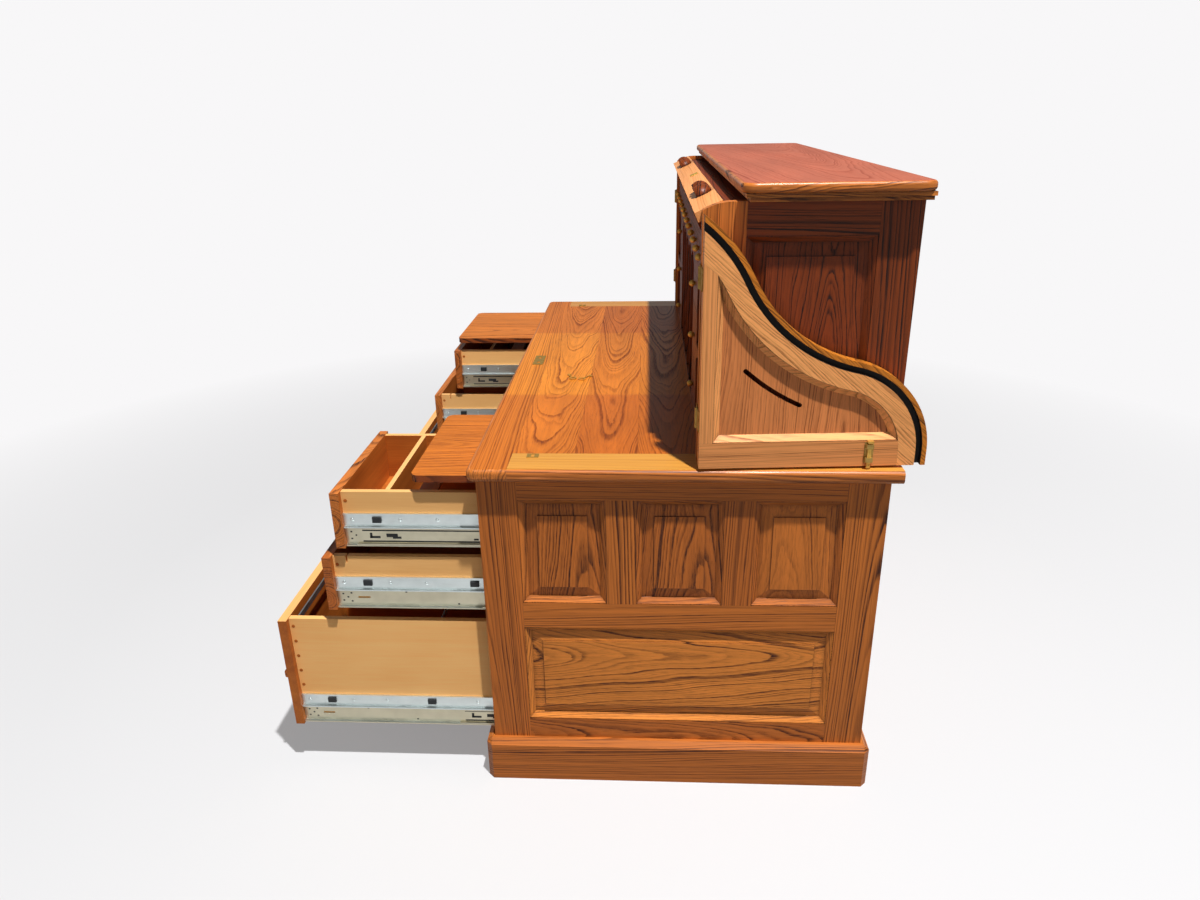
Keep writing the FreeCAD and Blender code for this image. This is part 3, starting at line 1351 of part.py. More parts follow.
def wing_moulding(side, inner, stile, rail_top):
    """Bevelled moulding round the wing's panel, on the side that faces the sitter."""
    glue, land, width = size("glue_line"), size("moulding_land"), size("moulding_width")
    near = bay_outline(inner - glue, stile + glue, rail_top + glue)
    block = wing_solid(side, near, "hutch_side - moulding_depth", "hutch_side - moulding_land")
    sections = []
    for grow, depth in ((width, "hutch_side - moulding_depth"), (land, "hutch_side - moulding_land")):
        sketch = doc.addObject("Sketcher::SketchObject", "Outline")
        sketch.addGeometry(bay_outline(inner - grow, stile + grow, rail_top + grow), False)
        sketch.Placement = FreeCAD.Placement(V(0, 0, 0), FACING_SHUT)
        bind(sketch, "Placement.Base.x", f"{'-' if side > 0 else ''}(hinge_standoff + {depth})")
        sections.append(sketch)
    hole = doc.addObject("Part::Loft", "Slope")
    hole.Sections = sections
    hole.Solid = True
    hole.Ruled = True
    return cut(block, hole)


def wing_panel(side):
    """Flat panel of a wing with a curved slot through it."""
    glue = size("glue_line")
    inner = -size("groove_width") / 2 - size("curved_rail") - glue
    rail_top = size("wing_gap") + size("wing_rail") + glue
    outline = bay_outline(inner, size("wing_stile") + glue, rail_top)
    depth = "hutch_side - moulding_depth - glue_line"
    plate = wing_solid(side, outline, f"{depth} - wing_panel", depth)
    half, middle = size("stay_slot_width") / 2, size("hollow_radius") + size("stay_slot_depth")
    first, last = 270 - size("stay_slot_end"), 270 - size("stay_slot_start")
    curves = [arc(HOLLOW, middle + half, first, last), arc(HOLLOW, middle - half, first, last),
              arc(on_circle(HOLLOW, middle, first), half, first - 180, first),
              arc(on_circle(HOLLOW, middle, last), half, last, last + 180)]
    return [cut(plate, wing_solid(side, curves, "0", "hutch_side"))]


def hinge_leaf_parts(side, middle, fixed):
    """Leaf and knuckles of a butt hinge about the hinge line at X = 0, Y = 0."""
    tall = "hinge_height / 3"
    clear = "hinge_knuckle + running_gap"
    y = ("running_gap", "running_gap + hinge_leaf")
    y = y if fixed else (f"-({y[1]})", f"-({y[0]})")
    low = f"{middle} - hinge_height / 2"
    reach = "hinge_standoff + hinge_reach"
    parts = [box(shift("0", clear, reach, -side), y, (low, f"{low} + hinge_height"))]
    steps = (0, 2) if fixed else (1,)
    for index in steps:
        z = (f"{low} + {index} * {tall} + running_gap / 2", f"{low} + {index + 1} * {tall} - running_gap / 2")
        parts.append(box(shift("0", "hinge_knuckle - hinge_leaf / 2", clear, -side), y, z))
        parts.append(cylinder("hinge_knuckle", f"({z[1]}) - ({z[0]})", ("0", "0", z[0]), UPRIGHT))
    bore = cylinder("hinge_pin + pin_clearance", "hinge_height * 2",
                    ("0", "0", f"{low} - hinge_height / 2"), UPRIGHT)
    return cut(joined(parts), bore)


def fixed_hinges():
    """Hinge leaves on the hutch with their pins."""
    parts = []
    for side in (-1, 1):
        for middle in ("low_hinge", "high_hinge"):
            pin = cylinder("hinge_pin", "hinge_height + 2",
                           ("0", "0", f"{middle} - hinge_height / 2 - 1"), UPRIGHT)
            for thing in (hinge_leaf_parts(side, middle, True), pin):
                holder = doc.addObject("Part::Compound", "Hinge")
                holder.Links = [thing]
                bind(holder, "Placement.Base.x", "hinge_x" if side > 0 else "-hinge_x")
                bind(holder, "Placement.Base.y", "hinge_y")
                bind(holder, "Placement.Base.z", "desk_top")
                parts.append(holder)
    return parts


def wing_brass(side):
    """Moving hinge leaves and the back plate and guides of the bolt."""
    parts = [hinge_leaf_parts(side, middle, False) for middle in ("low_hinge", "high_hinge")]
    wide = ("bolt_back - bolt_plate_width / 2", "bolt_back + bolt_plate_width / 2")
    top = "bolt_plate_low + bolt_plate_height"
    plate = wing_box(side, wide, ("bolt_plate_low", top),
                     ("hutch_side + glue_line", "hutch_side + glue_line + 1.5"))
    face = "hutch_side + glue_line + 1.5 + running_gap"
    guides = []
    for low in ("bolt_plate_low + 3", f"{top} - 12"):
        z = (low, f"{low} + 9")
        bridge = wing_box(side, ("bolt_back - bolt_width", "bolt_back + bolt_width"), z,
                          ("hutch_side + glue_line + 1", f"{face} + bolt_thickness + 2"))
        across = ("bolt_back - bolt_width / 2 - running_gap", "bolt_back + bolt_width / 2 + running_gap")
        way = wing_box(side, across, (f"{low} - 1", f"{low} + 10"),
                       (f"{face} - running_gap", f"{face} + bolt_thickness + running_gap"))
        guides.append(cut(bridge, way))
    return parts + [joined([plate] + guides)]


def wing_bolt(side):
    """Sliding bolt that pins a shut wing to the desktop."""
    face = "hutch_side + glue_line + 1.5 + running_gap"
    top = "bolt_low + bolt_length"
    bar = wing_box(side, ("bolt_back - bolt_width / 2", "bolt_back + bolt_width / 2"), ("bolt_low", top),
                   (face, f"{face} + bolt_thickness"))
    grip = wing_box(side, ("bolt_back - bolt_width * 0.8", "bolt_back + bolt_width * 0.8"),
                    (f"{top} - bolt_thickness", top), (face, f"{face} + bolt_thickness * 2"))
    return [joined([bar, grip])]


def wing_node(name, side, parts):
    """A sub-part of a wing, swung back from its shut pose."""
    group = node(name, parts)
    turn = size("fold_angle") * side
    group.Placement = FreeCAD.Placement(V(0, 0, 0), FreeCAD.Rotation(V(0, 0, 1), turn))
    bind(group, "Placement.Base.x", "hinge_x" if side > 0 else "-hinge_x")
    bind(group, "Placement.Base.y", "hinge_y - origin_back")
    bind(group, "Placement.Base.z", "desk_top")
    return group


# Brass on the desktop

def strike_plate(x, y, width, depth, hole_spacing):
    """A thin plate on the desktop with two holes."""
    z = ("desk_top + glue_line / 2", "desk_top + strike_thickness")
    plate = box((f"{x} - {width} / 2", f"{x} + {width} / 2"), (f"{y} - {depth} / 2", f"{y} + {depth} / 2"), z)
    for spot in (-1, 1):
        middle = f"{x} + {spot} * {hole_spacing} / 2"
        plate = cut(plate, box((f"{middle} - {depth} / 5", f"{middle} + {depth} / 5"),
                               (f"{y} - {depth} / 7", f"{y} + {depth} / 7"),
                               ("desk_top - strike_thickness", "desk_top + strike_thickness * 2")))
    return plate


def desk_brassware():
    """Lock strike plate, the two bolt strike plates and the fixed hinge leaves."""
    parts = [strike_plate("0", "strike_back", "86", "28", "44")]
    for side in ("-", ""):
        x = f"{side}(hutch_inner - groove_depth / 4)"
        parts.append(strike_plate(x, "hinge_y - bolt_back", "18", "24", "6"))
    return parts + fixed_hinges()


def key(x, y, turn):
    """A brass key that lies flat: ring bow, shank and bit."""
    disc = faceted(16, "key_length / 5", "key_thickness", ("0", "0", "-key_thickness / 2"), UPRIGHT)
    eye = faceted(16, "key_length / 8", "key_thickness * 2", ("0", "0", "-key_thickness"), UPRIGHT)
    bow = cut(disc, eye)
    shank = faceted(8, "key_thickness / 2", "key_length * 0.66", ("key_length / 6", "0", "0"), ALONG_X)
    bit = box(("key_length * 0.66", "key_length * 0.8"), ("-8", "0"), ("-1", "1"))
    whole = doc.addObject("Part::Compound", "Key")
    whole.Links = [joined([bow, shank, bit])]
    whole.Placement = FreeCAD.Placement(V(0, 0, 0), FreeCAD.Rotation(V(0, 0, 1), turn))
    for axis, text in zip("xyz", (x, y, "desk_top + key_thickness / 2 + 0.5")):
        bind(whole, f"Placement.Base.{axis}", text)
    return whole


def keys():
    """Two keys left lying on the desktop."""
    return [key("key_x", "key_y", 205), key("key_x + 6", "key_y + 24", 150)]


# The whole desk

LEVELS = ("file", "middle", "top")
NODES = [
    node("desktop", desktop()),
    node("pedestal_ends", pedestal_end(1) + pedestal_end(-1)),
    node("kneehole_sides", kneehole_side(-1) + kneehole_side(1)),
    node("desk_back", desk_back()),
    node("plinth", plinth()),
    node("drawer_rails", drawer_rails()),
    node("inner_framing", inner_framing()),
    node("fixed_slides", fixed_rail_pairs()),
    node("desk_brassware", desk_brassware()),
    node("keys", keys()),
    node("hutch_sides", hutch_sides()),
    node("hutch_top", hutch_top()),
    node("hutch_back", hutch_back()),
    node("pigeonhole_case", pigeonhole_case()),
    node("tambour_tracks", tambour_tracks()),
    node("tambour_slats", tambour_slats()),
    node("lift_rail", lift_rail()),
    node("centre_drawer", centre_drawer()),
]
for hand, sign, prefix in (("right", 1, ""), ("left", -1, "left_")):
    NODES.append(node(f"{hand}_writing_board", writing_board(sign, f"{prefix}board_open")))
    for level in LEVELS:
        opened = f"{prefix}{level}_open"
        NODES.append(node(f"{hand}_{level}_drawer", pedestal_drawer(sign, level, opened)))
        NODES.append(node(f"{hand}_{level}_drawer_slides", drawer_rail_pair(sign, level, opened)))
        NODES.append(node(f"{hand}_{level}_slide_middles", middle_rail_pair(sign, level, opened)))
    NODES.append(node(f"{hand}_hanging_rails", hanging_rails(sign, f"{prefix}file_open")))
    NODES.append(wing_node(f"{hand}_wing_frame", sign, wing_frame(sign)))
    NODES.append(wing_node(f"{hand}_wing_panel", sign, wing_panel(sign)))
    NODES.append(wing_node(f"{hand}_wing_brass", sign, wing_brass(sign)))
    NODES.append(wing_node(f"{hand}_wing_bolt", sign, wing_bolt(sign)))
for index in range(TOP_DRAWERS):
    drawer = small_drawer(row_span(index), ("row_bottom", "row_top"), (0.25, 0.75))
    NODES.append(node(f"row_drawer_{index + 1}", drawer))
for hand, side in (("left", "left_stack"), ("right", "right_stack")):
    low, high = case_columns()[side]
    clear = (f"{low} + case_shelf / 2", f"{high} - case_shelf / 2")
    for index in range(STACK_DRAWERS):
        drawer = small_drawer(clear, stack_height(index), (0.5,))
        NODES.append(node(f"{hand}_stack_drawer_{index + 1}", drawer))

doc.recompute()
for thing in doc.Objects:
    if "Invalid" in thing.State or "Error" in thing.State:
        raise RuntimeError(f"{thing.Label} failed: {thing.State}")
for group in NODES:
    if group.Shape.isNull() or not group.Shape.isValid():
        raise RuntimeError(f"{group.Label} has no valid shape")

os.makedirs("parts", exist_ok=True)
for group in NODES:
    group.Shape.exportStep(f"parts/{group.Label}.step")
print(len(NODES), "sub-parts,", sum(len(group.Shape.Solids) for group in NODES), "solids")
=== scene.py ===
import json
import math
import random
import zlib

import bmesh
import bpy
import numpy as np
from bpy.props import FloatProperty, FloatVectorProperty, PointerProperty
from bpy.types import Operator, Panel, PropertyGroup
from mathutils import Matrix, Vector


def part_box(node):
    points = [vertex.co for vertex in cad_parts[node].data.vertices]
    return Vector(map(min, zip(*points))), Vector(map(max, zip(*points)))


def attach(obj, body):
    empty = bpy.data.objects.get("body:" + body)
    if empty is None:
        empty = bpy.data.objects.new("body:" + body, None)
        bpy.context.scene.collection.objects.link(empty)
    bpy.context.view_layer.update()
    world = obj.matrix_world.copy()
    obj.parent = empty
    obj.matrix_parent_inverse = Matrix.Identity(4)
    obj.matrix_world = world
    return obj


bl_info = {
    "name": "Roll top desk",
    "version": (1, 0, 0),
    "blender": (4, 5, 0),
    "location": "View3D > Sidebar > Desk",
    "description": "Finishes, small fittings and the studio for a double pedestal roll top desk",
    "category": "Object",
}

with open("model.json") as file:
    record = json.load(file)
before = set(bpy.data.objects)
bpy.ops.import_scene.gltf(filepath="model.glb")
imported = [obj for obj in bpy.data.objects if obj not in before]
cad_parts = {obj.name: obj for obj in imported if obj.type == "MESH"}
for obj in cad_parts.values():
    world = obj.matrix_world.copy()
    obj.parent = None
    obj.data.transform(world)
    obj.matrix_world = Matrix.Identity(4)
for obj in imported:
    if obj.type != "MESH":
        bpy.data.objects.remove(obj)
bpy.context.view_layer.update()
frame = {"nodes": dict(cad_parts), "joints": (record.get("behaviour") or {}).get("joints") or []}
NODES = frame["nodes"]
DESK_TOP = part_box("desktop")[1].z
MM = 0.001
FAR = 1e9
HANDS = ("right", "left")
LEVELS = ("file", "middle", "top")

# Growth rings: how fast the trunk tapers, how far the rings wander at three sizes in millimetres
# along, across and into a board with a reach in metres, how uneven their spacing is, and how dark
# a ring is from one line of pores to the next. Narrow boards are rift sawn, with straight rings
TAPER = 0.08
WANDER = (((460, 120, 120), 0.060), ((80, 24, 24), 0.0042), ((14, 3, 3), 0.0014))
UNEVEN_PER_METRE = 70.0
UNEVEN_RINGS = 2.0
RING_EDGE = 0.1
RING_SHADES = ((0.07, 1.0), (0.26, 0.82), (0.48, 0.22), (0.8, 0.0))
FAINTEST_RING = 0.08
RIFT_WIDTH = 110 * MM
RIFT_STRETCH = 0.3

# Stain and varnish: how strong fibres and pores are beside the lines of the rings, how far a
# board's own tone goes in red, green and blue, how much rougher a pore is, the tint of painted
# light on the middle of the desk and of painted shade beyond it and how soft its edge is, how near
# and how deep painted shade darkens a corner, and which boards are the field of a panel, which is
# paler
OAK_FIBRES = 0.22
OAK_PORES = 0.34
OAK_TONE = (0.20, 0.31, 0.34)
PORE_ROUGHNESS = 0.16
PAINTED_LIGHT_TINT = (1.06, 1.04, 0.95)
PAINTED_SHADE_TINT = (0.86, 0.72, 0.72)
PAINTED_LIGHT_EDGE = 0.008
PAINTED_SHADE_REACH = 0.012
PAINTED_CORNER_SHADE = (0.5, 0.97, 0.15, 1.0)
FIELD_LEAST = (500 * MM, 200 * MM)
FIELD_THICKNESS = 16 * MM
FIELD_TONE = 1.7

# What tells the boards of a drawer apart, how squarely a face has to look one way, and dowels
FRONT_WIDTH = 300 * MM
SIDE_LENGTH = 300 * MM
SIDE_APART = 100 * MM
SIDE_THICKNESS = 14 * MM
BACK_THICKNESS = 20 * MM
TALL_BOARD = 40 * MM
KNOB_SIZE = 20 * MM
FACING = 0.7
DOWEL_SPACING = 38 * MM
DOWEL_BACK = 8 * MM
DOWEL_RADIUS = 4 * MM
DOWEL_HEIGHT = 0.5 * MM

# Slide fittings, in millimetres behind the front of a rail, up from its middle, long and tall, and
# how far the band, the web and the fittings on them lie in from the outer face
PLATED = "zinc plated steel"
# The channels are tinted yellower as painted reflection of the oak
CHANNEL = "zinc plated steel, passivated"
CHANNEL_HEIGHT = 43 * MM
BAND_IN = 6.0
WEB_IN = 5.0
BUMPER_IN = 4.5
HOLE_IN = 7.4
BUMPERS = (70, 300, 530)
SCREWS = (18, 118, 196, 404, 512)
# Holes, cut-outs and gaps in the slides are drawn as black painted shade
HOLES = ((12, -8), (12, 8), (22, 0), (30, -10), (30, 10), (150, 14), (262, -14), (390, 14))
SHADED_CUTS = ((38, -3, 22, 5), (30, 1, 5, 12), (74, 1, 24, 8), (84, -4, 18, 5), (250, -7, 10, 4),
           (330, 7, 12, 4))
GAP_SHADE_HEIGHTS = (-12.6, 12.6)

# The groove of a wing, in millimetres out from its hinge and up from the desktop, and degrees:
# centre and radius of each bend, where one bend runs into the next and how steep it is there, the
# rail that carries it, and how far from its middle its walls end and the outer strip begins
UPPER_BEND = (-178.54, 227.17, 290)
HOLLOW_BEND = (357.96, 495.83, 310)
NOSE_BEND = (251.11, 33, 165)
UPPER_END = (80.8, 357.0, 63.4)
HOLLOW_END = (288.2, 193.8, 13)
CURVED_RAIL_SIZE = 380 * MM
CURVED_RAIL_SLOPE = 38
OUTER_STRIP = 5.5
GROOVE_HALF = 6.6

# The studio, in metres and watts, and how bright its walls are from one height to another, as
# they light the desk and as they are mirrored in it
KEY_PLACE = (2.5, 1.35, 7.6)
KEY_AIM = (0.0, 0.0, 0.5)
KEY_SIZE = 0.2
KEY_POWER = 800.0
FLOOR_SIZE = 30.0
FLOOR_FADE = (1.5, 3.2)
FLOOR_LIFT = 0.28
FLOOR_SEEN = 0.6
FLOOR_BOUNCE = 0.15
CAMERA_PLACE = (2.24988, 0.15124, 1.40990)
SENSOR_WIDTH = 36.0
WALLS = (0.2, 0.55, 0.76, 0.05)
MIRRORED_WALLS = (0.04, 0.3, 0.55, 0.14)


# Colours and sizes that a user would change

def linear(code):
    """An sRGB hex colour as linear red, green and blue."""
    channels = [int(code[i:i + 2], 16) / 255 for i in (1, 3, 5)]
    return tuple(c / 12.92 if c <= 0.04045 else ((c + 0.055) / 1.055) ** 2.4 for c in channels)


def colour(label, code, description):
    """A colour property with a hex default."""
    return FloatVectorProperty(name=label, description=description, subtype="COLOR", size=3,
                               min=0.0, max=1.0, default=linear(code))


def length(label, metres, description):
    """A length property."""
    return FloatProperty(name=label, description=description, subtype="DISTANCE", unit="LENGTH",
                         min=0.0, default=metres)


def share(label, value, description):
    """A property between 0 and 1."""
    return FloatProperty(name=label, description=description, subtype="FACTOR", min=0.0, max=1.0,
                         default=value)


class WoodSettings(PropertyGroup):
    """Colours of the oak and maple, and the spacing of their grain."""
    body_light: colour("Body light", "#d07630", "Latewood of the pedestals")
    body_dark: colour("Body dark", "#3a1405", "Open pores of the pedestals")
    desktop_light: colour("Desktop light", "#d98026", "Latewood of the desktop")
    desktop_dark: colour("Desktop dark", "#6e2b08", "Open pores of the desktop")
    end_board_light: colour("End board light", "#d6963f", "Latewood of the desktop's end boards")
    end_board_dark: colour("End board dark", "#a8621f", "Open pores of the desktop's end boards")
    # The hutch's oak is its own darker red stain, darkened further with painted shade
    hutch_light: colour("Hutch light", "#8c3f15", "Latewood of the hutch")
    hutch_dark: colour("Hutch dark", "#1f0803", "Open pores of the hutch")
    top_light: colour("Hutch top light", "#b05a3e", "Latewood of the hutch top")
    top_dark: colour("Hutch top dark", "#843420", "Open pores of the hutch top")
    wing_light: colour("Wing light", "#ffad66", "Latewood of the wings' inner faces")
    wing_dark: colour("Wing dark", "#7d401c", "Open pores of the wings' inner faces")
    maple_light: colour("Maple light", "#ffc67e", "Outer faces of the drawer boxes")
    maple_dark: colour("Maple dark", "#eeab62", "Figure of the drawer boxes")
    # The darker, warmer maple of the inner faces is painted shade
    inner_shade_light: colour("Inner shade light", "#cb742c", "Inner faces of the drawer boxes")
    inner_shade_dark: colour("Inner shade dark", "#8f4212", "Figure of the inner faces")
    ring: length("Ring spacing", 0.0056, "Distance between two growth rings on a board's face")
    pore: length("Pore streak", 0.0014, "Width of a pore streak, drawn coarse enough to show")


class MetalSettings(PropertyGroup):
    """Colours of the metal and rubber fittings."""
    brass: colour("Brass", "#e8bf66", "Polished brass")
    bronze: colour("Bronze", "#c2a25e", "Brass that has gone brown on the hinges and strike plates")
    zinc: colour("Zinc", "#ecf5f4", "Clear zinc plating, on the upper band of the slides")
    # This tint is painted reflection of the oak in the zinc
    passivated: colour("Zinc with painted reflection", "#ddd6bc", "Yellowish painted reflection of the oak on the zinc channels of the slides")
    # Rubber also colours the black painted shade in the slides' holes, cut-outs and gaps and in the
    # keyhole
    rubber: colour("Rubber", "#1a1c1e", "Rubber bumpers and the gaps in the slides")
    brass_roughness: share("Brass roughness", 0.6, "How dull the polished brass is")
    bronze_roughness: share("Bronze roughness", 0.62, "How dull the browned brass is")
    zinc_roughness: share("Zinc roughness", 0.34, "How dull the slides are")


class StageSettings(PropertyGroup):
    """Floor, backdrop and camera."""
    floor: colour("Floor", "#e9e9ea", "The studio floor")
    backdrop: colour("Backdrop", "#f8f7f8", "What the camera sees beyond the floor")
    lens: FloatProperty(name="Lens", description="Focal length on a 36 mm wide sensor, in millimetres",
                        min=1.0, default=25.466)
    yaw: FloatProperty(name="Yaw", description="Turn of the view from straight across the desk",
                       subtype="ANGLE", unit="ROTATION", default=-0.06036)
    pitch: FloatProperty(name="Pitch", description="How far the view looks down", subtype="ANGLE",
                         unit="ROTATION", default=0.38539)
    roll: FloatProperty(name="Roll", description="Tilt of the camera", subtype="ANGLE",
                        unit="ROTATION", default=-0.01953)


def wood():
    """The settings of the wood."""
    return bpy.context.scene.desk_wood


def metal():
    """The settings of the metal and rubber."""
    return bpy.context.scene.desk_metal


# Node trees

def fill(tree, node, inputs):
    """Sets a node's inputs, or links them to a socket or to the first output of a node."""
    pairs = inputs.items() if isinstance(inputs, dict) else enumerate(inputs)
    for socket, value in pairs:
        if isinstance(value, bpy.types.Node):
            value = value.outputs[0]
        if isinstance(value, bpy.types.NodeSocket):
            tree.links.new(value, node.inputs[socket])
        else:
            node.inputs[socket].default_value = value


def add(tree, kind, inputs=(), **settings):
    """Adds a node with its settings and its inputs."""
    made = tree.nodes.new("ShaderNode" + kind)
    for name, value in settings.items():
        setattr(made, name, value)
    fill(tree, made, inputs)
    return made


def shaded(name, **sockets):
    """A material with its shader, and what is the same all over set on the shader."""
    material = bpy.data.materials.new(name)
    material.use_nodes = True
    tree = material.node_tree
    tree.nodes.clear()
    inputs = {key.replace("_", " "): value for key, value in sockets.items()}
    shader = add(tree, "BsdfPrincipled", inputs)
    add(tree, "OutputMaterial", {"Surface": shader})
    return material, tree, shader


def rgba(colour_value):
    """An opaque colour."""
    return (*colour_value, 1.0)


def board_nodes(tree):
    """Reads where a point lies on its own board, in metres, and the board's own numbers."""
    board = add(tree, "Attribute", attribute_name="board").outputs["Vector"]
    plank = add(tree, "Attribute", attribute_name="plank").outputs["Vector"]
    along, across, into = add(tree, "SeparateXYZ", (board,)).outputs
    heart, tone, seed = add(tree, "SeparateXYZ", (plank,)).outputs
    return board, (along, across, into), heart, tone, seed


def grain(tree, board, seed, sizes, shift, detail=2.0):
    """Noise drawn out along a board: its sizes along, across and into it are in millimetres."""
    per_metre = [1000 / size for size in sizes]
    scaled = add(tree, "VectorMath", (board, per_metre), operation="MULTIPLY")
    shifted = add(tree, "Math", (seed, shift), operation="ADD")
    inputs = {"Vector": scaled, "W": shifted, "Scale": 1.0, "Detail": detail, "Roughness": 0.55}
    return add(tree, "TexNoise", inputs, noise_dimensions="4D")


def growth_rings(tree, board, parts, heart, seed):
    """Distance from the heart of the tree, which tapers and wanders, and the line of each ring."""
    along, across, into = parts
    deep = add(tree, "Math", (heart, into), operation="ADD")
    sideways = add(tree, "Math", (across, across), operation="MULTIPLY")
    inward = add(tree, "Math", (deep, deep), operation="MULTIPLY")
    both = add(tree, "Math", (sideways, inward), operation="ADD")
    radius = add(tree, "Math", (both,), operation="SQRT")
    radius = add(tree, "Math", (along, TAPER, radius), operation="MULTIPLY_ADD")
    for sizes, reach in WANDER:
        noise = grain(tree, board, seed, sizes, reach * 100)
        radius = add(tree, "Math", (noise, reach, radius), operation="MULTIPLY_ADD")
    place = add(tree, "Math", (radius, UNEVEN_PER_METRE, seed), operation="MULTIPLY_ADD")
    uneven = add(tree, "TexNoise", {"W": place, "Detail": 1.0, "Scale": 1.0}, noise_dimensions="1D")
    even = add(tree, "Math", (radius, wood().ring), operation="DIVIDE")
    count = add(tree, "Math", (uneven, UNEVEN_RINGS, even), operation="MULTIPLY_ADD")
    within = add(tree, "Math", (count,), operation="FRACT")
    line = add(tree, "ValToRGB", (within,))
    stops = line.color_ramp.elements
    stops[0].color = stops[1].color = (RING_EDGE, RING_EDGE, RING_EDGE, 1)
    for place, value in RING_SHADES:
        stops.new(place).color = (value, value, value, 1)
    whole = add(tree, "Math", (count,), operation="FLOOR")
    ring = add(tree, "Math", (whole, seed), operation="ADD")
    bold = add(tree, "TexWhiteNoise", {"W": ring}, noise_dimensions="1D")
    boldness = add(tree, "MapRange", (bold, 0.0, 1.0, FAINTEST_RING, 1.0))
    return add(tree, "Math", (line, boldness), operation="MULTIPLY")


def oak(name, light, dark, contrast=1.0, gloss=0.40, coat=0.0, wear=0.0, painted_light_reach=0.0):
    """Flat sawn oak, stained and varnished satin: dark lines of open pores along each growth
    ring, which arch up the middle of a board, finer streaks between them, a tone of its own
    on each board, and painted shade darkening the corners. Wear shows paler where the varnish has
    rubbed off, and painted light brightens the wood that far to each side of the middle of the
    desk, with painted shade beyond."""
    material, tree, shader = shaded(name, IOR=1.5, Specular_IOR_Level=0.3, Coat_Weight=coat,
                                    Coat_Roughness=0.16)
    board, parts, heart, tone, seed = board_nodes(tree)
    line = growth_rings(tree, board, parts, heart, seed)
    gaps = grain(tree, board, seed, (30, 2.6, 2.6), 1.7)
    broken = add(tree, "MapRange", (gaps, 0.34, 0.56, 0.5, 1.0))
    line = add(tree, "Math", (line, broken), operation="MULTIPLY")
    pore = wood().pore / MM
    pores = add(tree, "MapRange", (grain(tree, board, seed, (26, pore, pore), 4.1), 0.54, 0.70))
    fibres = add(tree, "MapRange", (grain(tree, board, seed, (140, 6, 6), 5.9, 4.0), 0.35, 0.72))
    amount = add(tree, "Math", (fibres, OAK_FIBRES), operation="MULTIPLY")
    amount = add(tree, "Math", (line, contrast, amount), operation="MULTIPLY_ADD")
    amount = add(tree, "Math", (pores, OAK_PORES * contrast, amount), operation="MULTIPLY_ADD")
    amount = add(tree, "Clamp", (amount,))
    stain = {0: amount, 6: rgba(light), 7: rgba(dark)}
    stained = add(tree, "Mix", stain, data_type="RGBA").outputs[2]
    warmth = add(tree, "VectorMath", (tone, OAK_TONE, (1.0, 1.0, 1.0)), operation="MULTIPLY_ADD")
    patches = grain(tree, board, seed, (330, 90, 90), 9.4, 3.0)
    blotch = add(tree, "MapRange", (patches, 0.3, 0.7, 0.86, 1.12))
    warmth = add(tree, "VectorMath", {0: warmth, "Scale": blotch}, operation="SCALE")
    toned = add(tree, "VectorMath", (stained, warmth), operation="MULTIPLY")
    if wear:
        rubs = grain(tree, board, seed, (45, 9, 9), 12.5, 4.0)
        rubbed = add(tree, "MapRange", (rubs, 0.60, 0.68, 0.0, wear))
        bare = [min(c * 1.5 + 0.06, 1.0) for c in light]
        worn = {0: rubbed, 6: toned, 7: rgba(bare)}
        toned = add(tree, "Mix", worn, data_type="RGBA").outputs[2]
    # Painted light on the middle of the desktop, and painted shade on the rest of it
    if painted_light_reach:
        spot = add(tree, "TexCoord").outputs["Object"]
        sideways = add(tree, "SeparateXYZ", (spot,)).outputs["X"]
        apart = add(tree, "Math", (sideways,), operation="ABSOLUTE")
        pale = add(tree, "MapRange", (apart, painted_light_reach - PAINTED_LIGHT_EDGE, painted_light_reach + PAINTED_LIGHT_EDGE, 1.0, 0.0))
        light_and_shade = {0: pale, 6: rgba(PAINTED_SHADE_TINT), 7: rgba(PAINTED_LIGHT_TINT)}
        painted_tint = add(tree, "Mix", light_and_shade, data_type="RGBA").outputs[2]
        toned = add(tree, "VectorMath", (toned, painted_tint), operation="MULTIPLY")
    # Painted shade: corners darken where the ambient occlusion is low
    occlusion = add(tree, "AmbientOcclusion", {"Distance": PAINTED_SHADE_REACH}, samples=4, only_local=True)
    clear = add(tree, "MapRange", (occlusion.outputs["AO"], *PAINTED_CORNER_SHADE))
    toned = add(tree, "VectorMath", {0: toned, "Scale": clear}, operation="SCALE")
    rough = add(tree, "MapRange", (line, 0.0, 1.0, gloss, gloss + PORE_ROUGHNESS))
    dips = add(tree, "Math", (pores, 0.5, line), operation="MULTIPLY_ADD")
    bump = add(tree, "Bump", {"Height": dips, "Strength": 0.3, "Distance": 0.0004}, invert=True)
    fill(tree, shader, {"Base Color": toned, "Roughness": rough, "Normal": bump})
    return material


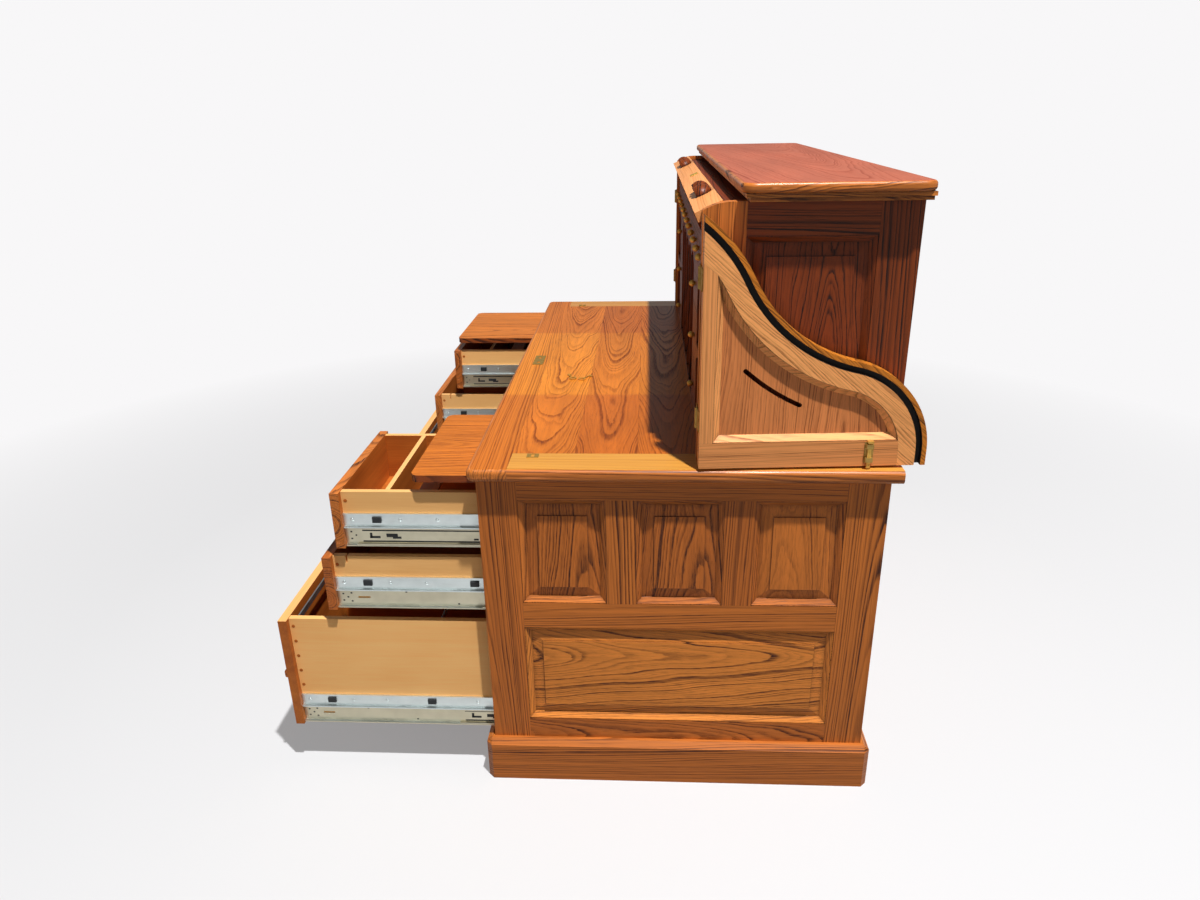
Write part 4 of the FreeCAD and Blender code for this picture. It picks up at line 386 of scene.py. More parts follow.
def maple(name, light, dark):
    """Rotary cut maple for drawer boxes, lacquered: a close wood with a faint broad figure."""
    material, tree, shader = shaded(name, IOR=1.48, Roughness=0.45, Specular_IOR_Level=0.35)
    board, _, _, tone, seed = board_nodes(tree)
    figure = add(tree, "MapRange", (grain(tree, board, seed, (340, 26, 26), 2.2, 3.0), 0.34, 0.68))
    fibres = add(tree, "MapRange", (grain(tree, board, seed, (90, 2, 2), 4.4), 0.35, 0.75))
    cloud = add(tree, "MapRange", (grain(tree, board, seed, (160, 120, 120), 6.1), 0.35, 0.7))
    amount = add(tree, "Math", (fibres, 0.3), operation="MULTIPLY")
    amount = add(tree, "Math", (figure, 0.4, amount), operation="MULTIPLY_ADD")
    amount = add(tree, "Math", (cloud, 0.3, amount), operation="MULTIPLY_ADD")
    stain = {0: amount, 6: rgba(light), 7: rgba(dark)}
    stained = add(tree, "Mix", stain, data_type="RGBA").outputs[2]
    value = add(tree, "Math", (tone, 0.08, 1.0), operation="MULTIPLY_ADD")
    toned = add(tree, "VectorMath", {0: stained, "Scale": value}, operation="SCALE")
    bump = add(tree, "Bump", {"Height": fibres, "Strength": 0.15, "Distance": 0.0002})
    fill(tree, shader, {"Base Color": toned, "Normal": bump})
    return material


def blacked(name):
    """Near black wood as painted shade, in the wings' routed groove and the hollows of the pulls: matt,
    with a faint streak.
    """
    material, tree, shader = shaded(name, IOR=1.5, Roughness=0.7)
    board, _, _, _, seed = board_nodes(tree)
    streak = grain(tree, board, seed, (60, 3, 3), 0.7)
    shades = {0: streak, 6: rgba(linear("#080403")), 7: rgba(linear("#1c0f09"))}
    shade = add(tree, "Mix", shades, data_type="RGBA").outputs[2]
    fill(tree, shader, {"Base Color": shade})
    return material


def zinc_plate(name, plating):
    """Rolled steel with bright zinc plating: a soft mirror with faint rolling lines along the
    rail and cloudy patches where oil has dried."""
    material, tree, shader = shaded(name, Metallic=1.0)
    spot = add(tree, "TexCoord").outputs["Object"]
    stretched = add(tree, "Mapping", {"Vector": spot, "Scale": (300.0, 9.0, 300.0)})
    rolling = add(tree, "TexNoise", {"Vector": stretched, "Scale": 1.0, "Detail": 2.0})
    patches = add(tree, "TexNoise", {"Vector": spot, "Scale": 26.0, "Detail": 3.0})
    amount = add(tree, "MapRange", (patches, 0.35, 0.7, 0.0, 0.5))
    amount = add(tree, "Math", (rolling, 0.35, amount), operation="MULTIPLY_ADD")
    duller = tuple(c * 0.8 for c in plating)
    shades = {0: amount, 6: rgba(plating), 7: rgba(duller)}
    shade = add(tree, "Mix", shades, data_type="RGBA").outputs[2]
    rough = metal().zinc_roughness
    rough = add(tree, "MapRange", (patches, 0.3, 0.7, rough - 0.06, rough + 0.1))
    fill(tree, shader, {"Base Color": shade, "Roughness": rough})
    return material


def brass(name, polish, rough):
    """Cast brass that has begun to tarnish: warm highlights with browner patches."""
    material, tree, shader = shaded(name, Metallic=1.0)
    spot = add(tree, "TexCoord").outputs["Object"]
    patches = add(tree, "TexNoise", {"Vector": spot, "Scale": 90.0, "Detail": 4.0})
    amount = add(tree, "MapRange", (patches, 0.45, 0.75, 0.0, 0.6))
    browner = tuple(c * f for c, f in zip(polish, (0.55, 0.42, 0.30)))
    shades = {0: amount, 6: rgba(polish), 7: rgba(browner)}
    shade = add(tree, "Mix", shades, data_type="RGBA").outputs[2]
    duller = add(tree, "MapRange", (amount, 0.0, 0.6, rough, rough + 0.22))
    fill(tree, shader, {"Base Color": shade, "Roughness": duller})
    return material


def rubber(name, black):
    """Moulded black rubber, which also stands as black painted shade: matt with a fine mottle."""
    material, tree, shader = shaded(name, IOR=1.52, Roughness=0.6)
    spot = add(tree, "TexCoord").outputs["Object"]
    mottle = add(tree, "TexNoise", {"Vector": spot, "Scale": 500.0, "Detail": 2.0})
    lighter = tuple(c * 1.9 for c in black)
    shades = {0: mottle, 6: rgba(black), 7: rgba(lighter)}
    shade = add(tree, "Mix", shades, data_type="RGBA").outputs[2]
    fill(tree, shader, {"Base Color": shade})
    return material


# How each finish is made, which settings it takes and what sets it apart
FINISHES = {
    "oak, red brown stain": (oak, ("body_light", "body_dark"), {"contrast": 1.05}),
    "oak, rubbed edge": (oak, ("body_light", "body_dark"),
                         {"contrast": 0.95, "gloss": 0.36, "coat": 0.08, "wear": 0.45}),
    # Partly the hutch's own dark stain and partly painted shade
    "oak, dark red stain": (oak, ("hutch_light", "hutch_dark"), {"contrast": 1.2}),
    "oak, rosy varnish": (oak, ("top_light", "top_dark"),
                          {"contrast": 0.9, "gloss": 0.42, "coat": 0.03}),
    "oak, pale brown varnish": (oak, ("wing_light", "wing_dark"), {"contrast": 0.8}),
    "oak, smooth brown varnish": (oak, ("wing_light", "wing_dark"), {"contrast": 0.4}),
    "oak, orange brown varnish": (oak, ("desktop_light", "body_dark"), {"contrast": 1.1}),
    "oak, amber varnish": (oak, ("desktop_light", "desktop_dark"),
                           {"contrast": 0.9, "gloss": 0.36, "coat": 0.05, "painted_light_reach": 0.30}),
    "oak, pale amber varnish": (oak, ("end_board_light", "end_board_dark"),
                                {"contrast": 0.7, "gloss": 0.28, "coat": 0.25}),
    "oak, blacked groove": (blacked, (), {}),
    "maple, clear lacquer": (maple, ("maple_light", "maple_dark"), {}),
    "maple, warm lacquer": (maple, ("inner_shade_light", "inner_shade_dark"), {}),
    PLATED: (zinc_plate, ("zinc",), {}),
    CHANNEL: (zinc_plate, ("passivated",), {}),
    "polished brass": (brass, ("brass", "brass_roughness"), {}),
    "browned brass": (brass, ("bronze", "bronze_roughness"), {}),
    "moulded rubber": (rubber, ("rubber",), {}),
}


def finish(name):
    """A material by its name, made the first time that it is asked for."""
    known = bpy.data.materials.get(name)
    if known:
        return known
    make, settings, more = FINISHES[name]
    source = wood() if make in (oak, maple) else metal()
    return make(name, *[getattr(source, setting) for setting in settings], **more)


# Boards: where each point lies on the piece of wood that it was cut from

def islands(mesh, spots):
    """Number of the separate solid that each vertex belongs to."""
    rounded = np.round(spots / (0.01 * MM)).astype(np.int64)
    merged = np.unique(rounded, axis=0, return_inverse=True)[1].ravel()
    pairs = np.empty(len(mesh.edges) * 2, np.int64)
    mesh.edges.foreach_get("vertices", pairs)
    first, second = merged[pairs[0::2]], merged[pairs[1::2]]
    lowest = np.arange(merged.max() + 1)
    while True:
        low = np.minimum(lowest[first], lowest[second])
        lower = lowest.copy()
        np.minimum.at(lower, first, low)
        np.minimum.at(lower, second, low)
        lower = lower[lower]
        if (lower == lowest).all():
            return np.unique(lowest[merged], return_inverse=True)[1].ravel()
        lowest = lower


class Boards:
    """The separate solids of one CAD node, in the pose that its boards lie square in."""

    def __init__(self, node, turn=None):
        self.object = NODES[node]
        self.name = node
        mesh = self.object.data
        spots = np.empty(len(mesh.vertices) * 3)
        mesh.vertices.foreach_get("co", spots)
        spots = spots.reshape(-1, 3)
        self.turn = np.array(turn.to_3x3()) if turn else np.eye(3)
        offset = np.array(turn.translation) if turn else np.zeros(3)
        self.spots = spots @ self.turn.T + offset
        self.solid = islands(mesh, self.spots)
        count = self.solid.max() + 1
        self.low, self.high = np.full((count, 3), FAR), np.full((count, 3), -FAR)
        np.minimum.at(self.low, self.solid, self.spots)
        np.maximum.at(self.high, self.solid, self.spots)
        self.size, self.middle = self.high - self.low, (self.high + self.low) / 2
        self.corners = np.empty(len(mesh.loops), np.int64)
        mesh.loops.foreach_get("vertex_index", self.corners)
        totals = np.empty(len(mesh.polygons), np.int64)
        mesh.polygons.foreach_get("loop_total", totals)
        self.face = np.repeat(np.arange(len(totals)), totals)
        starts = np.concatenate(([0], np.cumsum(totals)[:-1]))
        self.face_solid = self.solid[self.corners[starts]]
        normals = np.empty(len(mesh.polygons) * 3)
        mesh.polygons.foreach_get("normal", normals)
        self.normal = normals.reshape(-1, 3) @ self.turn.T
        self.area = np.empty(len(mesh.polygons))
        mesh.polygons.foreach_get("area", self.area)

    def frames(self, order):
        """Which solids are open frames, such as a moulding round a panel."""
        thin = order[self.face_solid, 2]
        flat = np.abs(self.normal[np.arange(len(thin)), thin]) > 0.98
        covered = np.bincount(self.face_solid, self.area * flat, len(self.size))
        sizes = np.take_along_axis(self.size, order, 1)
        open_middle = covered < 1.2 * sizes[:, 0] * sizes[:, 1]
        thin_ring = (sizes[:, 1] > 60 * MM) & (sizes[:, 2] < 16 * MM)
        return open_middle & thin_ring & ("panel" not in self.name)

    def mark(self, along=None, paler=0.0, lipped=False):
        """Stores each corner's place on its board, and the board's own heart, tone and seed. A
        lipped board hides its end grain behind a strip, whose grain runs along the edge."""
        order = np.argsort(-self.size, axis=1, kind="stable")
        hollow = self.frames(order)
        solid = self.solid[self.corners]
        relative = (self.spots - self.middle[self.solid])[self.corners]
        axes = order[solid].copy()
        normal = np.abs(self.normal[self.face])
        rows = np.arange(len(solid))
        turned = hollow[solid] & (normal[rows, axes[:, 0]] > normal[rows, axes[:, 1]])
        axes[turned] = axes[turned][:, [1, 0, 2]]
        board = np.take_along_axis(relative, axes, 1)
        if along is not None:
            board = along(self, solid, board)
        if lipped:
            strip = normal[rows, axes[:, 0]] > 0.5
            board[strip] = np.column_stack((board[strip, 1], board[strip, 2], np.zeros(strip.sum())))
        plank, lean = [], []
        chance = random.Random(zlib.crc32(self.name.encode()))
        for size in np.take_along_axis(self.size, order, 1):
            field = (size[:2] > FIELD_LEAST).all() and size[2] < FIELD_THICKNESS
            arched = size[1] > RIFT_WIDTH
            beside = chance.choice((-1, 1)) * chance.uniform(0.04, 0.11)
            aside = chance.uniform(-0.3, 0.3) * size[1] if arched else beside
            tone = paler + chance.uniform(-0.5, 0.5) + FIELD_TONE * field
            plank.append((chance.uniform(0.012, 0.05), tone, chance.uniform(0, 90)))
            lean.append((chance.uniform(-0.3, 0.3) * size[0], aside, 0))
        rift = np.sort(self.size, axis=1)[:, 1] < RIFT_WIDTH
        board[:, 0] *= np.where(rift[solid], RIFT_STRETCH, 1.0)
        board = board + np.array(lean)[solid]
        mesh = self.object.data
        for name, values in (("board", board), ("plank", np.array(plank)[solid])):
            stored = mesh.attributes.new(name, "FLOAT_VECTOR", "CORNER")
            stored.data.foreach_set("vector", values.astype(np.float32).ravel())

    def dress(self, finishes, choose=None):
        """Puts finishes on the node: choose gives the number of one for each face."""
        mesh = self.object.data
        mesh.materials.clear()
        for name in finishes:
            mesh.materials.append(finish(name))
        index = choose(self) if choose else np.zeros(len(self.face_solid), np.int64)
        mesh.polygons.foreach_set("material_index", index.astype(np.int32))
        mesh.update()


def dress_node(node, finishes, choose=None, turn=None, **marks):
    """Marks a wooden node's boards and gives them their finishes."""
    boards = Boards(node, turn)
    boards.mark(**marks)
    boards.dress(finishes, choose)
    return boards


def drawer_faces(boards):
    """Oak for the front, with rubbed edges, and its pulls, and maple for the box, darker and warmer as
    painted shade on its inner faces, with its top edges and outer faces left light.
    """
    size, middle = boards.size, boards.middle
    front = np.argmin(boards.low[:, 1] + (size[:, 0] < FRONT_WIDTH) * FAR)
    shell = (np.abs(middle[:, 0] - middle[front, 0]) > SIDE_APART) & (size[:, 1] > SIDE_LENGTH)
    oak_solid = middle[:, 1] < boards.high[front, 1]
    inner_boards = ~shell & ~oak_solid
    index = np.ones(len(boards.face_solid), np.int64)
    solid = boards.face_solid
    across = middle[front, 0] - middle[solid, 0]
    inward = boards.normal[:, 0] * across > 0.5 * np.abs(across)
    # Inner faces get the darker, warmer maple as painted shade, top edges the light maple
    index[inner_boards[solid]] = 2
    index[shell[solid] & inward] = 2
    index[oak_solid[solid]] = 0
    index[(solid == front) & (boards.normal[:, 1] > FACING)] = 2
    rearmost = np.abs(boards.high[:, 1] - boards.high[:, 1].max()) < 2 * MM
    rear = inner_boards & rearmost & (size[:, 1] < BACK_THICKNESS)
    index[rear[solid] & (boards.normal[:, 1] > FACING)] = 1
    tall = (inner_boards | shell) & (size[:, 2] > TALL_BOARD)
    index[tall[solid] & (boards.normal[:, 2] > FACING)] = 1
    index[(solid == front) & (np.abs(boards.normal[:, 1]) < FACING)] = 3
    return index


def knob_faces(boards):
    """Brass for the knobs, oak for the front and maple for the box of a small drawer."""
    size, place = boards.size, boards.middle[:, 1]
    knobs = size.max(axis=1) < KNOB_SIZE
    foremost = (size[:, 1] < 12 * MM) & (place < place.min() + 30 * MM)
    front = np.argmax(size[:, 0] * size[:, 2] * foremost)
    index = np.full(len(boards.face_solid), 1)
    index[boards.face_solid == front] = 0
    index[knobs[boards.face_solid]] = 2
    return index


# Small pieces in mesh code

def rounded_block(shape, centre, size, bevel):
    """A block with rounded edges."""
    made = bmesh.ops.create_cube(shape, size=1.0)["verts"]
    bmesh.ops.scale(shape, vec=Vector(size), verts=made)
    bmesh.ops.translate(shape, vec=Vector(centre), verts=made)
    edges = list({edge for vertex in made for edge in vertex.link_edges})
    bmesh.ops.bevel(shape, geom=edges, offset=bevel, segments=2, profile=0.6, affect="EDGES")


def screw_head(shape, centre, axis, radius, height):
    """A domed head with a sunk middle, as on a screw or a dowel, which stands out along an axis."""
    turn = Vector((0, 0, 1)).rotation_difference(Vector(axis)).to_matrix().to_4x4()
    place = Matrix.Translation(Vector(centre)) @ turn
    rings = ((1.0, 0.0), (0.96, 0.45), (0.78, 0.8), (0.45, 1.0), (0.30, 0.72))
    steps = 12
    loops = []
    angles = [2 * math.pi * i / steps for i in range(steps)]
    for wide, tall in rings:
        reach = radius * wide
        spots = [Vector((reach * math.cos(a), reach * math.sin(a), height * tall)) for a in angles]
        loops.append([shape.verts.new(place @ spot) for spot in spots])
    for lower, upper in zip(loops, loops[1:]):
        for i in range(steps):
            shape.faces.new((lower[i], lower[(i + 1) % steps], upper[(i + 1) % steps], upper[i]))
    shape.faces.new(loops[-1])
    shape.faces.new(list(reversed(loops[0])))


def piece(name, shape, look, body):
    """Makes an object of a mesh in one finish, which rides on a body."""
    mesh = bpy.data.meshes.new(name)
    bmesh.ops.recalc_face_normals(shape, faces=shape.faces)
    shape.to_mesh(mesh)
    shape.free()
    mesh.materials.append(finish(look))
    mesh.shade_smooth()
    made = bpy.data.objects.new(name, mesh)
    bpy.context.scene.collection.objects.link(made)
    made.modifiers.new("Crisp edges", "WEIGHTED_NORMAL")
    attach(made, body)
    return made


def metal_node(node, look):
    """Puts one finish on a whole node of metal."""
    mesh = NODES[node].data
    mesh.materials.clear()
    mesh.materials.append(finish(look))
    mesh.polygons.foreach_set("material_index", np.zeros(len(mesh.polygons), np.int32))


# The desk, piece by piece

class DESK_OT_body(Operator):
    """Stains the pedestals, the back, the plinth and the frame between them"""
    bl_idname = "desk.body"
    bl_label = "Pedestals and plinth"

    def execute(self, context):
        for node in ("pedestal_ends", "kneehole_sides", "desk_back", "drawer_rails", "inner_framing"):
            dress_node(node, ["oak, red brown stain"])
        dress_node("plinth", ["oak, red brown stain"], paler=0.4)
        return {"FINISHED"}


class DESK_OT_desktop(Operator):
    """Varnishes the desktop, with its lighter end boards, and the two writing boards"""
    bl_idname = "desk.desktop"
    bl_label = "Desktop"

    def execute(self, context):
        finishes = ["oak, amber varnish", "oak, pale amber varnish", "oak, rubbed edge"]
        dress_node("desktop", finishes, self.ends_and_edges)
        finishes = ["oak, amber varnish", "oak, dark red stain"]
        for hand in HANDS:
            dress_node(f"{hand}_writing_board", finishes, self.edges, paler=-0.9)
        return {"FINISHED"}

    def ends_and_edges(self, boards):
        """The end boards, which run from front to back, and rubbed wood on the edges."""
        across = boards.size[:, 1] > boards.size[:, 0]
        index = across[boards.face_solid].astype(np.int64)
        index[np.abs(boards.normal[:, 2]) < 0.97] = 2
        return index

    def edges(self, boards):
        """The darker hutch oak on the edges of a writing board."""
        return (np.abs(boards.normal[:, 2]) < 0.9).astype(np.int64)


class DESK_OT_drawers(Operator):
    """Finishes the pedestal drawers and the centre drawer"""
    bl_idname = "desk.drawers"
    bl_label = "Drawers"

    def execute(self, context):
        finishes = ["oak, red brown stain", "maple, clear lacquer", "maple, warm lacquer",
                    "oak, rubbed edge"]
        drawers = [f"{hand}_{level}_drawer" for hand in HANDS for level in LEVELS]
        for node in drawers + ["centre_drawer"]:
            self.dowels(node, dress_node(node, finishes, drawer_faces, paler=-0.3))
        return {"FINISHED"}

    def dowels(self, node, boards):
        """Heads of the dowels that hold the sides of a drawer box to its front."""
        shape = bmesh.new()
        for low, high in zip(boards.low, boards.high):
            if high[0] - low[0] > SIDE_THICKNESS or high[1] - low[1] < SIDE_LENGTH:
                continue
            side = 1 if low[0] + high[0] > boards.low[:, 0].min() + boards.high[:, 0].max() else -1
            face = high[0] if side > 0 else low[0]
            count = max(2, round((high[2] - low[2]) / DOWEL_SPACING))
            for index in range(count):
                up = low[2] + (index + 0.5) * (high[2] - low[2]) / count
                place = (face, low[1] + DOWEL_BACK, up)
                screw_head(shape, place, (side, 0, 0), DOWEL_RADIUS, DOWEL_HEIGHT)
        piece(node + "_dowels", shape, "maple, warm lacquer", node)


class DESK_OT_slides(Operator):
    """Plates the drawer slides and adds their bumpers and screws, and black painted shade in their
    holes, cut-outs and gaps
    """
    bl_idname = "desk.slides"
    bl_label = "Drawer slides"

    def execute(self, context):
        metal_node("fixed_slides", CHANNEL)
        for hand in HANDS:
            metal_node(f"{hand}_hanging_rails", PLATED)
            for level in LEVELS:
                self.plate(f"{hand}_{level}_drawer_slides")
                metal_node(f"{hand}_{level}_slide_middles", CHANNEL)
                self.fittings(hand, level)
        return {"FINISHED"}

    def plate(self, node):
        """Clear plating, with the web between the lips of the lower channel yellower as painted
        reflection of the oak.
        """
        boards = Boards(node)
        spots = boards.spots[boards.corners]
        top = np.full(len(boards.face_solid), -FAR)
        np.maximum.at(top, boards.face, spots[:, 2])
        web = (top < boards.low[:, 2].min() + CHANNEL_HEIGHT) & (np.abs(boards.normal[:, 0]) > 0.9)
        boards.dress([PLATED, CHANNEL], lambda marked: web.astype(np.int64))

    def fittings(self, hand, level):
        """Bumpers and screws of a drawer's two slides, and black painted shade in their punched holes,
        L-shaped cut-outs and the gaps along the middle members.
        """
        body = f"{hand}_{level}_drawer"
        middles = f"{hand}_{level}_slide_middles"
        low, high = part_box(body + "_slides")
        start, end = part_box(middles)
        bumpers, screws, holes, gap_shade = (bmesh.new() for _ in range(4))
        reach, centre = end.y - start.y, (start.z + end.z) / 2
        for side, face in ((-1, low.x), (1, high.x)):
            band, web = face - side * BAND_IN * MM, face - side * WEB_IN * MM
            bumper, plate = face - side * BUMPER_IN * MM, face - side * HOLE_IN * MM
            top, floor = high.z - 14 * MM, low.z + 22 * MM
            for back in BUMPERS:
                rounded_block(bumpers, (bumper, low.y + back * MM, top), (4 * MM, 19 * MM, 13 * MM),
                              1.2 * MM)
            for back in SCREWS:
                screw_head(screws, (band, low.y + back * MM, top), (side, 0, 0), 3.8 * MM, 1.6 * MM)
            for back, up in HOLES:
                rounded_block(holes, (plate, low.y + back * MM, floor + up * MM),
                              (0.4 * MM, 4 * MM, 3.4 * MM), 0.15 * MM)
            for up in GAP_SHADE_HEIGHTS:
                rounded_block(gap_shade, (web, start.y + reach / 2, centre + up * MM),
                              (0.6 * MM, reach - 24 * MM, 3.2 * MM), 0.25 * MM)
            for back, up, long, tall in SHADED_CUTS:
                rounded_block(gap_shade, (web, start.y + back * MM, centre + up * MM),
                              (0.6 * MM, long * MM, tall * MM), 0.25 * MM)
        piece(body + "_bumpers", bumpers, "moulded rubber", body)
        piece(body + "_slide_screws", screws, PLATED, body)
        piece(body + "_slide_holes", holes, "moulded rubber", body)
        piece(middles + "_cages", gap_shade, "moulded rubber", middles)


class DESK_OT_hutch(Operator):
    """Stains the hutch and its top"""
    bl_idname = "desk.hutch"
    bl_label = "Hutch"

    def execute(self, context):
        finishes = ["oak, rosy varnish", "oak, rubbed edge"]
        dress_node("hutch_top", finishes, self.slab, lipped=True)
        finishes = ["oak, dark red stain", "oak, red brown stain"]
        # The front stiles take the paler body oak as painted light
        dress_node("hutch_sides", finishes, self.painted_light_stiles)
        for node in ("hutch_back", "tambour_tracks"):
            dress_node(node, ["oak, dark red stain"])
        return {"FINISHED"}

    def slab(self, boards):
        """Rubbed wood on the moulding and on the edges and underside of the top."""
        moulding = boards.size[:, 2] < 12 * MM
        index = moulding[boards.face_solid].astype(np.int64)
        index[boards.normal[:, 2] < 0.9] = 1
        return index

    def painted_light_stiles(self, boards):
        """The stiles that reach forward beside the curtain, paler as painted light, in the body oak."""
        stiles = boards.low[:, 1] < boards.low[:, 1].min() + 5 * MM
        return stiles[boards.face_solid].astype(np.int64)


class DESK_OT_fittings(Operator):
    """Finishes the pigeonholes and the small drawers"""
    bl_idname = "desk.fittings"
    bl_label = "Pigeonholes and small drawers"

    def execute(self, context):
        dress_node("pigeonhole_case", ["oak, dark red stain"])
        small = [f"row_drawer_{i}" for i in range(1, 7)]
        small += [f"{hand}_stack_drawer_{i}" for hand in HANDS for i in range(1, 4)]
        finishes = ["oak, dark red stain", "maple, warm lacquer", "polished brass"]
        for node in small:
            dress_node(node, finishes, knob_faces)
        return {"FINISHED"}


class DESK_OT_wings(Operator):
    """Stains the folding wings, whose groove is black with painted shade and whose outer edge is darker
    """
    bl_idname = "desk.wings"
    bl_label = "Wings"

    def execute(self, context):
        finishes = ["oak, pale brown varnish", "oak, orange brown varnish", "oak, blacked groove"]
        for hand in HANDS:
            hinge = next(j for j in frame["joints"] if j["name"] == f"{hand}_wing_hinge")
            pivot = Vector((hinge["pos_m"][0], hinge["pos_m"][1], DESK_TOP))
            fold = math.radians(max(hinge["range_deg"], key=abs))
            turn = Matrix.Rotation(fold, 4, "Z") @ Matrix.Translation(-pivot)
            dress_node(f"{hand}_wing_frame", finishes, self.parts, turn, along=self.flow)
            dress_node(f"{hand}_wing_panel", finishes[:1], turn=turn, along=self.upright, paler=-0.9)
        return {"FINISHED"}

    def curved(self, boards):
        """Which solid carries the groove."""
        return boards.size[:, 1:].min(axis=1) > CURVED_RAIL_SIZE

    def offset(self, spots):
        """Distance outwards from the middle of the groove, which is drawn with three arcs."""
        out, up = -spots[:, 1] / MM, spots[:, 2] / MM

        def past(end):
            slope = math.radians(end[2])
            return (out - end[0]) * math.cos(slope) - (up - end[1]) * math.sin(slope) > 0

        upper = np.hypot(out - UPPER_BEND[0], up - UPPER_BEND[1]) - UPPER_BEND[2]
        hollow = HOLLOW_BEND[2] - np.hypot(out - HOLLOW_BEND[0], up - HOLLOW_BEND[1])
        above = np.maximum(up, NOSE_BEND[1]) - NOSE_BEND[1]
        nose = np.hypot(out - NOSE_BEND[0], above) - NOSE_BEND[2]
        return np.where(past(HOLLOW_END), nose, np.where(past(UPPER_END), hollow, upper))

    def parts(self, boards):
        """Pale wood, the darker strip outside the groove and the groove itself, black with painted
        shade.
        """
        offset = self.offset(boards.spots)[boards.corners]
        low, high = np.full(len(boards.face_solid), FAR), np.full(len(boards.face_solid), -FAR)
        np.minimum.at(low, boards.face, offset)
        np.maximum.at(high, boards.face, offset)
        curved = self.curved(boards)[boards.face_solid]
        index = np.zeros(len(low), np.int64)
        index[curved & (low > OUTER_STRIP)] = 1
        # The groove is painted black as its shade
        index[curved & (low > -GROOVE_HALF) & (high < GROOVE_HALF)] = 2
        return index

    def flow(self, boards, solid, board):
        """Lays the grain of the curved rail along its slope."""
        chosen = self.curved(boards)[solid]
        spots = boards.spots[boards.corners][chosen]
        slope = math.radians(CURVED_RAIL_SLOPE)
        board[chosen, 0] = -spots[:, 1] * math.cos(slope) - spots[:, 2] * math.sin(slope)
        board[chosen, 1] = -spots[:, 1] * math.sin(slope) + spots[:, 2] * math.cos(slope)
        return board

    def upright(self, boards, solid, board):
        """Lays the panel's grain upright."""
        return board[:, [1, 0, 2]]


class DESK_OT_curtain(Operator):
    """Finishes the rolled up curtain and its lift rail, and adds the rail's lock"""
    bl_idname = "desk.curtain"
    bl_label = "Curtain"

    def execute(self, context):
        finishes = ["oak, smooth brown varnish", "oak, dark red stain", "oak, blacked groove"]
        boards = dress_node("lift_rail", finishes, self.pulls)
        # The slats are darkened as painted shade in the gap beneath the hutch top
        dress_node("tambour_slats", ["oak, dark red stain"], paler=-1.8)
        self.lock(boards)
        return {"FINISHED"}

    def pulls(self, boards):
        """Darker wood for the carved pulls, with black painted shade in their hollows."""
        pull = boards.size.max(axis=1) < 200 * MM
        centre = np.zeros((len(boards.face_solid), 3))
        corners = np.bincount(boards.face)
        for axis in range(3):
            total = np.bincount(boards.face, boards.spots[boards.corners, axis])
            centre[:, axis] = total / corners
        inward = ((centre - boards.middle[boards.face_solid]) * boards.normal).sum(axis=1) < 0
        # Inward faces of a pull are painted black as the shade in its hollow
        return np.where(pull[boards.face_solid], np.where(inward, 2, 1), 0)

    def lock(self, boards):
        """Brass plate of the curtain's lock, with its keyhole drawn as black painted shade, in the
        middle of the lift rail.
        """
        rail = np.argmax(boards.size[:, 0])
        sloping = (boards.normal[:, 1] < -0.2) & (boards.normal[:, 2] > 0.2)
        outer = (boards.face_solid == rail) & sloping
        face = np.flatnonzero(outer)[np.argmax(boards.area[outer])]
        normal = Vector(boards.normal[face])
        middle = boards.spots[boards.corners[boards.face == face]].mean(axis=0)
        middle[0] = 0.0
        turn = normal.to_track_quat("Z", "X").to_matrix().to_4x4()
        place = Matrix.Translation(Vector(middle)) @ turn
        plate, hole = bmesh.new(), bmesh.new()
        rounded_block(plate, (0, 0, 0.6 * MM), (20 * MM, 44 * MM, 1.6 * MM), 0.7 * MM)
        for up in (17, -17):
            screw_head(plate, (0, up * MM, 1.2 * MM), (0, 0, 1), 2.2 * MM, 0.8 * MM)
        rounded_block(hole, (0, 0, 1.2 * MM), (2.6 * MM, 9 * MM, 0.7 * MM), 0.3 * MM)
        for shape in (plate, hole):
            shape.transform(place)
        piece("curtain_lock", plate, "polished brass", "desk")
        # The keyhole is black painted shade
        piece("curtain_keyhole", hole, "moulded rubber", "desk")


class DESK_OT_brasswork(Operator):
    """Polishes the hinges, bolts, strike plates and keys"""
    bl_idname = "desk.brasswork"
    bl_label = "Brasswork"

    def execute(self, context):
        metal_node("desk_brassware", "browned brass")
        metal_node("keys", "polished brass")
        for hand in HANDS:
            metal_node(f"{hand}_wing_brass", "browned brass")
            metal_node(f"{hand}_wing_bolt", "polished brass")
        return {"FINISHED"}


